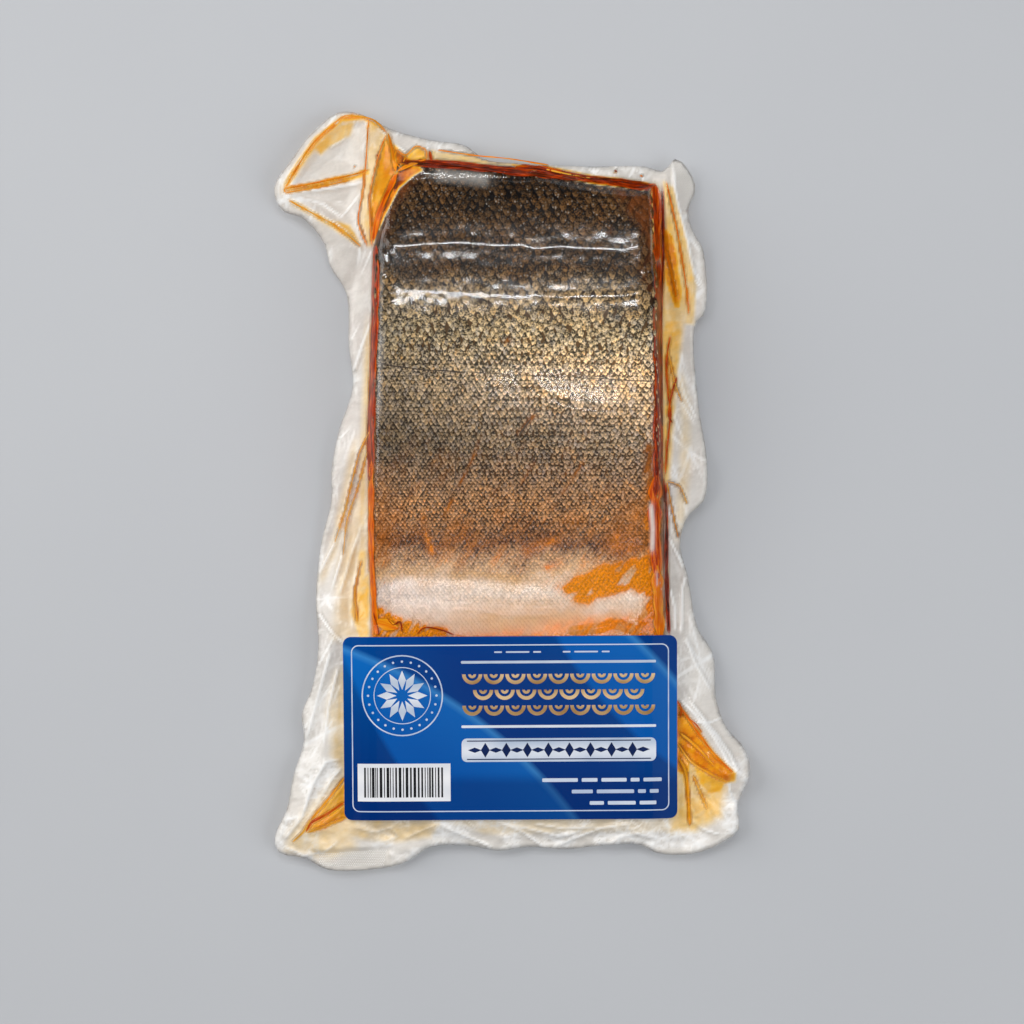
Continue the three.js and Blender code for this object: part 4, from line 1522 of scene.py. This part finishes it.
def lens_piece(name, lines, heights, gap, thickness=0.0):
    """Several lenses as one piece. Deeper ones sag more below the surface that they hang from."""
    corners, faces, stored = [], [], {}
    for index, (points, half_width, depth_share) in enumerate(lines):
        sag = thickness + DEEPEST_SAG * depth_share
        part_corners, part_faces, numbers = lens_ribbon(
            points, half_width, depth_share, 100 + index, heights, gap, sag)
        faces += [tuple(len(corners) + number for number in face) for face in part_faces]
        corners += part_corners
        for key, values in numbers.items():
            stored.setdefault(key, []).extend(values)
    piece = new_mesh(name, corners, faces)
    face_outwards(piece)
    shade_smooth(piece)
    for key, values in stored.items():
        store(piece, key, values)
    return piece


OIL_STOPS = [
    (0.0, colour(250, 220, 140)),
    (0.18, colour(244, 194, 80)),
    (0.36, colour(236, 160, 26)),
    (0.52, colour(224, 112, 4)),
    (0.68, colour(184, 60, 0)),
    (0.84, colour(116, 27, 0)),
    (1.0, colour(58, 16, 2)),
]


def oil_material():
    """Amber oil: yellow where it is thin, through orange to red-brown where it is deep, in streaks."""
    material, tree = new_material("amber oil")
    deep = attribute(tree, "oil_depth")
    flow = add(tree, "ShaderNodeCombineXYZ", {
        0: attribute(tree, "run") * 0.16, 1: attribute(tree, "cross") * 1.5})
    swing = (noise_at(tree, flow.outputs[0], 1.0, 3.0, 0.55) - 0.5) * 1.2
    solid = deep.spread(0.1, 0.4, 0.8, 1.0)
    return end_material(material, {
        "Base Color": ramp(tree, deep + swing * deep, OIL_STOPS),
        "Roughness": 0.3,
        "Specular IOR Level": 0.1,
        "Alpha": solid * attribute(tree, "edge").spread(1.0, 0.45, 0.1, 1.0),
    })


amber_oil = oil_material()
oil_pieces = [lens_piece(name, pools, film_top, OIL_GAP, OIL_THICKNESS) for name, pools in POOLS.items()]
for piece in oil_pieces:
    piece.data.materials.append(amber_oil)
print("oil pieces:", [piece.name for piece in oil_pieces])

# %% The lateral line and a few deep cracks in the skin
SKIN_LINES = [
    ([(-52, 49), (-46, 47.4), (-40, 46.6), (-33, 45.6), (-26, 45.4), (-18, 44.6)], 0.24, 0.95),
    ([(-16, 44.6), (-8, 44.4), (0, 43.8)], 0.16, 0.8),
    ([(4, 43.8), (12, 43.2), (20, 42.8)], 0.13, 0.7),
    ([(24, 42.6), (36, 42.2), (46, 41.6), (53.6, 41.4)], 0.15, 0.8),
    ([(2.4, 20.5), (4.6, 24), (7.2, 27.4)], 0.34, 0.75),
    ([(-26, -6), (-22, 2), (-21, 12)], 0.16, 0.6),
]


def crack_material():
    """The line's open pores: brown at their thin ends, nearly black where they are deep."""
    material, tree = new_material("lateral line")
    worn = object_noise(tree, 420, 3, 0.6).spread(0.3, 0.6, 0.55, 1.1)
    dark = attribute(tree, "oil_depth") * worn
    return end_material(material, {
        "Base Color": blend(tree, dark, colour(120, 98, 72), colour(44, 30, 18)),
        "Roughness": 0.45,
        "Alpha": attribute(tree, "edge").spread(1.0, 0.5, 0.1, 0.95),
    })


LINE_HEIGHT = 0.52 * MM
lateral_line = lens_piece("lateral_line", SKIN_LINES, film_base, SKIN_GAP - LINE_HEIGHT)
lateral_line.data.materials.append(crack_material())
print("skin lines:", len(SKIN_LINES))

# %% [markdown]
# ## The film's finish
#
# Clear film shows what is under it and adds a mirror-like gloss. Where two films lie on each other with
# tiny gaps between them, the light scatters and the film turns milky. So the shader mixes a see-through
# part with a milky one by the painted milk number, and lays gloss over both, stronger at a glancing
# angle.

# %% Film material
FILM_STOPS = [
    (0.0, colour(222, 217, 210)),
    (0.12, colour(237, 221, 194)),
    (0.28, colour(240, 206, 140)),
    (0.44, colour(248, 188, 62)),
    (0.62, colour(242, 160, 14)),
    (0.78, colour(224, 124, 4)),
    (0.92, colour(160, 70, 2)),
    (1.0, colour(96, 38, 2)),
]
CLEAR_TINT = colour(252, 251, 249)


def mix_shaders(tree, factor, first, second):
    return add(tree, "ShaderNodeMixShader", {0: factor, 1: first.outputs[0], 2: second.outputs[0]})


def film_material():
    """Clear over the fish, milky where two films lie on each other, amber where oil is between them."""
    material, tree = new_material("bag film")
    milk, amber, back, whitening_and_highlight, wetted = (
        attribute(tree, name) for name in ("milk", "amber", "back_side", "whitening_and_highlight", "wetted"))
    swirl = object_noise(tree, 190, 4, 0.6, (1, 0.6, 1), 0.5) - 0.5
    oily = ramp(tree, amber * (1.0 + swirl * 0.7), FILM_STOPS)
    crinkle = object_noise(tree, 360, 3, 0.55, (1, 0.6, 1), 0.5) + object_noise(tree, 1500, 2, 0.5) * 0.25
    normal = bump(tree, crinkle * milk, 0.4, 0.0005)
    # creases are painted near-white, as stress whitening with a painted highlight
    milky = add(tree, "ShaderNodeBsdfPrincipled", {
        "Base Color": blend(tree, whitening_and_highlight, oily, colour(247, 246, 244)),
        "Roughness": 0.5,
        "Normal": normal,
        "Specular IOR Level": 0.15,
    })
    clear = add(tree, "ShaderNodeBsdfTransparent", {"Color": CLEAR_TINT})
    cloudy = milk * object_noise(tree, 130, 4, 0.6, (1, 0.5, 1), 0.4).spread(0.2, 0.75, 0.8, 1.08)
    thick = (cloudy + whitening_and_highlight * 0.4).clamped()
    gloss = add(tree, "ShaderNodeBsdfGlossy", {"Color": (1, 1, 1, 1), "Roughness": 0.11, "Normal": normal})
    facing = Value(tree, add(tree, "ShaderNodeFresnel", {"IOR": 1.5, "Normal": normal}).outputs[0])
    # two films lying on each other shine less than the single one that is drawn tight over the fish
    dulled = back * 0.8 + milk * 0.55 + wetted * 0.92
    shine = facing * (1.0 - dulled).clamped()
    surface = mix_shaders(tree, shine, mix_shaders(tree, thick, clear, milky), gloss)
    # a lamp shines through thin film, so shadow rays pass where it is clear
    lamp_ray = Value(tree, add(tree, "ShaderNodeLightPath").outputs["Is Shadow Ray"])
    through = add(tree, "ShaderNodeBsdfTransparent", {"Color": CLEAR_TINT})
    final = mix_shaders(tree, lamp_ray * (1.0 - thick * 0.5), surface, through)
    add(tree, "ShaderNodeOutputMaterial", {"Surface": final.outputs[0]})
    return material


bag_film.data.materials.append(film_material())
print("film nodes:", len(bag_film.data.materials[0].node_tree.nodes))

# %% [markdown]
# ## Embossed dots
#
# Where a vacuum bag's films are welded, the hot bar leaves a fine field of raised dots. They could be a
# bump map, but real dots also show at a grazing angle. The tree that laid the scales lays them too, with
# a six-sided dot as its plate and the film as its material.

# %% Dots on the welded tab and strip
DOT_RADIUS, DOT_PITCH, ROW_RISE = 0.24, 0.72, 0.87
BARE_EDGE = 0.9 * MM
WELDS = [
    [(60.5, 127), (66, 129.5), (69.5, 121), (69, 108), (64, 107), (61.5, 116)],
    [(-74, -138.4), (-60, -137.6), (-48, -137), (-49, -143.6), (-74, -143.6)],
]


def dot_plate():
    """A six-sided dot one unit in radius, closed above and below."""
    ring = [(math.cos(angle), math.sin(angle), 0) for angle in np.arange(6) * math.pi / 3]
    sides = [(step, (step + 1) % 6) for step in range(6)]
    faces = [(a, b, 6) for a, b in sides] + [(b, a, 7) for a, b in sides]
    dot = new_mesh("dot_plate", ring + [(0, 0, 1), (0, 0, -1)], faces)
    shade_smooth(dot)
    for name, value in (("milk", 1.0), ("amber", 0.0), ("whitening_and_highlight", 0.8), ("back_side", 0.0)):
        store(dot, name, [value] * 8)
    return dot


dot_places = []
for weld in WELDS:
    (left, bottom), (right, top) = np.min(weld, axis=0), np.max(weld, axis=0)
    for row, y in enumerate(np.arange(bottom, top, DOT_PITCH * ROW_RISE)):
        for x in np.arange(left + 0.5 * DOT_PITCH * (row % 2), right, DOT_PITCH):
            dot_places.append((x * MM, y * MM))
dot_places = np.array(dot_places)
in_weld = sum(area(*dot_places.T, weld, 0.1) for weld in WELDS) > 0.5
near_edge = distance_to_path(*dot_places.T, bag_edge, closed=True)[0] < BARE_EDGE
dot_places = dot_places[in_weld & ~near_edge & inside_path(*dot_places.T, bag_edge)]
dot_spots = laying_spots(
    "dot_spots", np.column_stack([dot_places, read_map(film_top, *dot_places.T)]),
    np.tile((0, 0, 1), (len(dot_places), 1)), *np.full((2, len(dot_places)), DOT_RADIUS * MM))
dot = dot_plate()
weld_dots = grow(
    dot_spots, lay_plates, "weld_dots",
    plate=dot, relief=0.4, lean=0.0, uneven=0.0, seed=1, material=bag_film.data.materials[0],
)
bpy.data.objects.remove(dot)
print("dots:", len(dot_places))

# %% [markdown]
# ## The label
#
# The label is a printed sticker that lies flat across the bag and bends down at its ends. Its print is
# fields of blue with plain shapes on them. Each shape is drawn flat, cut into small faces so that it can
# bend, then laid on the label and given a hair of thickness.

# %% Lay flat shapes on the label
LABEL_TURN = math.radians(0.35)
BEND_STEP = 3.0
INK, SHEET = 0.03 * MM, 0.4 * MM


def on_label(x, y):
    """Turns label millimetres, counted from its middle, into a place in metres."""
    turned_x = x * math.cos(LABEL_TURN) - y * math.sin(LABEL_TURN)
    turned_y = x * math.sin(LABEL_TURN) + y * math.cos(LABEL_TURN)
    return turned_x * MM + LABEL_CENTRE[0], turned_y * MM + LABEL_CENTRE[1]


def label_height(x, y):
    return float(read_map(label_top, x, y))


def lay_shapes(name, outlines, height, thickness, material):
    """Makes closed thin plates from flat outlines in label millimetres, bent to the label's surface."""
    flat = bmesh.new()
    for outline in outlines:
        flat.faces.new([flat.verts.new((x, y, 0)) for x, y in outline])
    # cuts across the label's width and across its height let the plates bend
    for axis, half in ((0, 63), (1, 35)):
        for cut in np.arange(-half, half, BEND_STEP):
            normal, place = [0, 0, 0], [0, 0, 0]
            normal[axis], place[axis] = 1, cut
            geometry = flat.verts[:] + flat.edges[:] + flat.faces[:]
            bmesh.ops.bisect_plane(flat, geom=geometry, plane_co=place, plane_no=normal)
    bmesh.ops.recalc_face_normals(flat, faces=flat.faces)
    for face in flat.faces:
        if face.normal.z < 0:
            face.normal_flip()
    raised = bmesh.ops.extrude_face_region(flat, geom=flat.faces[:])
    upper = {item for item in raised["geom"] if isinstance(item, bmesh.types.BMVert)}
    for vert in flat.verts:
        x, y = on_label(vert.co.x, vert.co.y)
        top = label_height(x, y) + height
        vert.co = (x, y, top if vert in upper else top - thickness)
    bmesh.ops.recalc_face_normals(flat, faces=flat.faces)
    piece = new_mesh(name, [], [])
    flat.to_mesh(piece.data)
    flat.free()
    piece.data.materials.append(material)
    return piece


def box_outline(centre_x, centre_y, wide, tall, corner=0.0, steps=5):
    """A rectangle with rounded corners, counter-clockwise."""
    signs = ((1, 1), (-1, 1), (-1, -1), (1, -1))
    if corner <= 0:
        return [(centre_x + sx * wide / 2, centre_y + sy * tall / 2) for sx, sy in signs]
    outline = []
    for quarter, (sx, sy) in enumerate(signs):
        for step in range(steps + 1):
            angle = math.pi / 2 * (quarter + step / steps)
            outline.append((
                centre_x + sx * (wide / 2 - corner) + corner * math.cos(angle),
                centre_y + sy * (tall / 2 - corner) + corner * math.sin(angle),
            ))
    return outline


def band_outlines(inner, outer):
    """The quadrilaterals between two outlines with the same number of points."""
    count = len(inner)
    pairs = ((index, (index + 1) % count) for index in range(count))
    return [[outer[a], outer[b], inner[b], inner[a]] for a, b in pairs]


# %% Label materials
FIRST_ARCS = [
    (0.0, colour(0, 40, 106)),
    (0.30, colour(0, 54, 128)),
    (0.62, colour(2, 80, 160)),
    (0.93, colour(18, 110, 194)),
    (0.965, colour(70, 152, 216)),
    (1.0, colour(0, 40, 106)),
]
SECOND_ARCS = [
    (0.0, colour(0, 34, 92)),
    (0.5, colour(0, 56, 128)),
    (0.97, colour(4, 90, 172)),
    (1.0, colour(0, 34, 92)),
]


def arcs_round(tree, centre, scale, stops):
    """Colours that repeat with the distance from a far centre, seen from above."""
    vector = "ShaderNodeVectorMath"
    moved = add(tree, vector, {0: object_place(tree), 1: centre}, operation="SUBTRACT").outputs[0]
    flat = add(tree, vector, {0: moved, 1: (1, 1, 0)}, operation="MULTIPLY").outputs[0]
    away = Value(tree, add(tree, vector, {0: flat}, operation="LENGTH").outputs["Value"])
    return ramp(tree, (away * scale).fraction(), stops)


def label_material():
    """Varnished paper in blue: wide arcs round two far centres, with pale lines along their edges."""
    material, tree = new_material("label print")
    mixed = blend(
        tree, 0.5,
        arcs_round(tree, (-0.125, -0.235, 0), 16.0, FIRST_ARCS),
        arcs_round(tree, (0.15, 0.02, 0), 13.0, SECOND_ARCS),
    )
    lower = object_axis(tree, "Y").spread(-0.106, -0.112)
    return end_material(material, {
        "Base Color": blend(tree, lower * 0.55, mixed, colour(0, 40, 104)),
        "Roughness": 0.25,
        "Specular IOR Level": 0.06,
    })


def ink_material(name, light, dark, metallic, roughness):
    """Printed or foiled ink that shades softly from one colour to another down the label."""
    material, tree = new_material(name)
    mixed = (object_axis(tree, "Y") * 620.0).sine() * 0.3 + object_noise(tree, 90, 2)
    return end_material(material, {
        "Base Color": blend(tree, mixed, dark, light),
        "Roughness": roughness,
        "Metallic": metallic,
        "Specular IOR Level": 0.15,
    })


label_blue = label_material()
foil_gold = ink_material("gold foil", colour(226, 196, 150), colour(150, 112, 62), 0.35, 0.32)
foil_silver = ink_material("silver ink", colour(226, 230, 238), colour(170, 186, 208), 0.15, 0.4)
ink_pale = ink_material("pale ink", colour(206, 214, 228), colour(168, 184, 210), 0.0, 0.5)
ink_white = ink_material("white ink", colour(236, 236, 238), colour(216, 218, 224), 0.0, 0.5)
ink_navy = ink_material("navy ink", colour(8, 34, 84), colour(2, 20, 58), 0.0, 0.45)
ink_black = ink_material("black ink", colour(26, 26, 30), colour(12, 12, 16), 0.0, 0.5)

# %% The label's sheet and its print
LABEL_W, LABEL_H = LABEL_SIZE[0] / MM, LABEL_SIZE[1] / MM
label_sheet = lay_shapes(
    "label_sheet", [box_outline(0, 0, LABEL_W, LABEL_H, 3.0, 8)], 0.0, SHEET, label_blue)

BORDER_INSET, LINE = 3.1, 0.42


def lozenge(x, y, wide, tall):
    return [(x - wide / 2, y), (x, y - tall / 2), (x + wide / 2, y), (x, y + tall / 2)]


def ring_outlines(x, y, inner, outer, start=0.0, end=2 * math.pi, steps=48):
    """The short quadrilaterals that make a ring or an arc."""
    angles = np.linspace(start, end, steps + 1)
    inside, outside = (
        [(x + radius * math.cos(angle), y + radius * math.sin(angle)) for angle in angles]
        for radius in (inner, outer))
    return [[inside[k], outside[k], outside[k + 1], inside[k + 1]] for k in range(steps)]


def dashes(x, y, lengths, gap, tall):
    """A row of short rounded bars that starts at x, as small print reads from afar."""
    outlines = []
    for length in lengths:
        outlines.append(box_outline(x + length / 2, y, length, tall, min(0.45 * tall, 0.3), 2))
        x += length + gap
    return outlines


RING = (-41.0, 12.6)
PANEL = (18.4, -8.4)
CODE = (-40.6, -20.6)


def petal(centre, angle, near, far, half_width):
    """A lozenge that points away from a centre."""
    out, side = (math.cos(angle), math.sin(angle)), (-math.sin(angle), math.cos(angle))
    middle = (near + far) / 2
    return [
        (centre[0] + out[0] * reach + side[0] * aside, centre[1] + out[1] * reach + side[1] * aside)
        for reach, aside in ((near, 0), (middle, -half_width), (far, 0), (middle, half_width))
    ]


ring_dots = [
    box_outline(RING[0] + 13.0 * math.cos(angle), RING[1] + 13.0 * math.sin(angle), 0.9, 0.9, 0.4, 2)
    for angle in np.linspace(0, 2 * math.pi, 25)[:-1]
]
border_w, border_h = LABEL_W - 2 * BORDER_INSET, LABEL_H - 2 * BORDER_INSET
pale_shapes = band_outlines(
    box_outline(0, 0, border_w - 2 * LINE, border_h - 2 * LINE, 2.4, 6),
    box_outline(0, 0, border_w, border_h, 2.8, 6))
pale_shapes += ring_outlines(*RING, 15.0, 15.5) + ring_outlines(*RING, 10.6, 10.9) + ring_dots
pale_shapes += dashes(12.0, -20.0, [13.5, 6.0, 9.6, 3.4, 7.0], 1.5, 1.4)
pale_shapes += dashes(23.2, -24.4, [8.0, 14.2, 3.0, 3.4], 1.5, 1.4)
pale_shapes += dashes(30.0, -28.8, [5.4, 10.6, 6.4], 1.5, 1.4)
for start in (-6.0, 20.0):
    pale_shapes += dashes(start, 29.0, [3.0, 9.0, 3.0], 1.4, 0.6)

SCALLOP, SCALLOP_ROWS = 4.1, ((20.6, 9), (14.6, 8), (8.6, 9))
gold_shapes = []
for scallop_y, number in SCALLOP_ROWS:
    for index in range(number):
        scallop_x = PANEL[0] + 2 * SCALLOP * (index - (number - 1) / 2)
        gold_shapes += ring_outlines(scallop_x, scallop_y, 2.5, SCALLOP - 0.25, math.pi, 2 * math.pi, 14)
        gold_shapes += ring_outlines(scallop_x, scallop_y, 0.5, 1.5, math.pi, 2 * math.pi, 8)
silver_shapes = [petal(RING, angle, 2.2, 9.6, 1.5) for angle in np.linspace(0, 2 * math.pi, 13)[:-1]]
silver_shapes += [box_outline(*PANEL, 74.0, 9.0, 2.0, 4)]
for rule_y in (0.6, 25.2):
    silver_shapes += dashes(PANEL[0] - 37.0, rule_y, [74.0], 0.0, 1.0)

# name, outlines, height above the sheet, ink
lay_order = [
    ("label_lines", pale_shapes, INK, ink_pale),
    ("label_gold_scallops", gold_shapes, 1.4 * INK, foil_gold),
    ("label_silver_shapes", silver_shapes, 1.2 * INK, foil_silver),
    ("label_code_panel", [box_outline(*CODE, 35.4, 14.4)], 1.2 * INK, ink_white),
]
print_pieces = [
    lay_shapes(name, shapes, height, height + INK, ink) for name, shapes, height, ink in lay_order]

# %% Dark print: lozenges on the panel, and the bar code's stripes
panel_marks = [
    lozenge(PANEL[0] + x, PANEL[1], *((3.4, 5.6) if index % 2 else (5.2, 2.0)))
    for index, x in enumerate(np.linspace(-32, 32, 17))
]
panel_lines = [box_outline(PANEL[0], PANEL[1] + y, 70.0, 0.4, 0.15, 2) for y in (-3.5, 3.5)]
navy_print = lay_shapes("label_navy_marks", panel_marks + panel_lines, 2.4 * INK, 2 * INK, ink_navy)

STRIPES_FROM, STRIPES_TO, STRIPE_HEIGHT = CODE[0] - 15.2, CODE[0] + 14.8, 11.4
STRIPE_WIDTHS, GAP_WIDTHS = [0.33, 0.33, 0.66, 0.99], [0.33, 0.66, 0.66]
stripe_random = np.random.default_rng(19)
stripes, x = [], STRIPES_FROM
while x < STRIPES_TO:
    stripe = float(stripe_random.choice(STRIPE_WIDTHS))
    stripes.append(box_outline(x + stripe / 2, CODE[1], stripe, STRIPE_HEIGHT))
    x += stripe + float(stripe_random.choice(GAP_WIDTHS))
code_print = lay_shapes("label_code_bars", stripes, 2.4 * INK, 2 * INK, ink_black)
print_pieces += [navy_print, code_print]
print("label pieces:", [piece.name for piece in print_pieces])

# %% [markdown]
# ## Stage
#
# A plain pale floor, soft lamps and the camera. The photograph's camera faced the pack squarely, so this
# one looks straight down on it. Long narrow lamps give the film its bright bands along the back and the
# belly.

# %% Floor, lamps and camera
def floor_material():
    material, tree = new_material("pale floor")
    shade = blend(tree, object_noise(tree, 6, 2), colour(184, 186, 190), colour(190, 192, 195))
    return end_material(material, {"Base Color": shade, "Roughness": 0.7})


FLOOR_HALF = 3.0
FLOOR_CORNERS = [(x * FLOOR_HALF, y * FLOOR_HALF, 0) for x, y in ((-1, -1), (1, -1), (1, 1), (-1, 1))]
floor = new_mesh("floor", FLOOR_CORNERS, [(0, 1, 2, 3)])
floor.data.materials.append(floor_material())


def area_lamp(name, place, aim, size, power, tone=(1, 1, 1), turn=0.0):
    """A rectangular lamp at a place, aimed at a point, with its size in metres and its power in watts."""
    lamp = bpy.data.lights.new(name, "AREA")
    lamp.shape = "RECTANGLE"
    lamp.size, lamp.size_y = size
    lamp.energy = power
    lamp.color = tone
    holder = bpy.data.objects.new(name, lamp)
    collection.objects.link(holder)
    holder.location = place
    facing = (Vector(aim) - Vector(place)).to_track_quat("-Z", "Y")
    holder.rotation_euler = (facing @ Quaternion((0, 0, 1), turn)).to_euler()


WARM, COOL = (1.0, 0.985, 0.965), (0.97, 0.985, 1.0)
area_lamp("broad_left", (-1.5, 0.6, 1.15), (0, 0, 0), (1.8, 1.8), 34.5, WARM)
area_lamp("broad_right", (1.4, -0.5, 1.2), (0, 0, 0), (1.6, 1.6), 17, COOL)
# long lamps, each of which shows as a bright band in the film
area_lamp("strip_back", (0, 0.77, 1.25), (0, 0.09, 0.02), (0.7, 0.05), 2.8)
area_lamp("strip_loin", (0, 0.45, 1.28), (0, 0.08, 0.02), (0.6, 0.05), 2.5)
area_lamp(
    "strip_side", (0.036, -0.074, 1.25), (0.018, 0.036, 0.02), (0.016, 0.1), 0.15, turn=math.radians(30))
area_lamp("strip_belly", (0, -0.43, 1.25), (0, -0.05, 0.02), (0.5, 0.03), 0.5)
area_lamp("glow_belly", (0, -0.382, 1.25), (0, -0.04, 0.02), (0.5, 0.03), 0.11)

world = bpy.data.worlds.new("studio")
scene.world = world
world.use_nodes = True
background = world.node_tree.nodes["Background"].inputs
background["Color"].default_value = colour(225, 230, 238)
background["Strength"].default_value = 0.15

PHOTO_PIXELS, MM_PER_PIXEL = 1024, 0.38
CAMERA_HEIGHT = 1.30
LOOK_AT = (0.0, -0.0078)
SUBJECT_HEIGHT = 0.014
camera_data = bpy.data.cameras.new("camera")
camera_data.sensor_width = 36.0
frame_width = PHOTO_PIXELS * MM_PER_PIXEL * MM
camera_data.lens = camera_data.sensor_width * (CAMERA_HEIGHT - SUBJECT_HEIGHT) / frame_width
camera = bpy.data.objects.new("camera", camera_data)
collection.objects.link(camera)
camera.location = (*LOOK_AT, CAMERA_HEIGHT)
scene.camera = camera
scene.view_settings.view_transform = "Standard"
print("lens:", round(camera_data.lens, 1), "mm")

# %% [markdown]
# ## Riding on the pack's body
#
# Every piece rides on the pack's one body. The bag's skin with what it holds stands for the solid bag,
# and the finer sheet stands for the solid label.

# %% Ride, replace and finish
for piece in [bag_film, weld_dots, salmon, scales, lateral_line, *oil_pieces, label_sheet, *print_pieces]:
    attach(piece, "root")
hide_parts("vacuum_bag")
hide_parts("label")
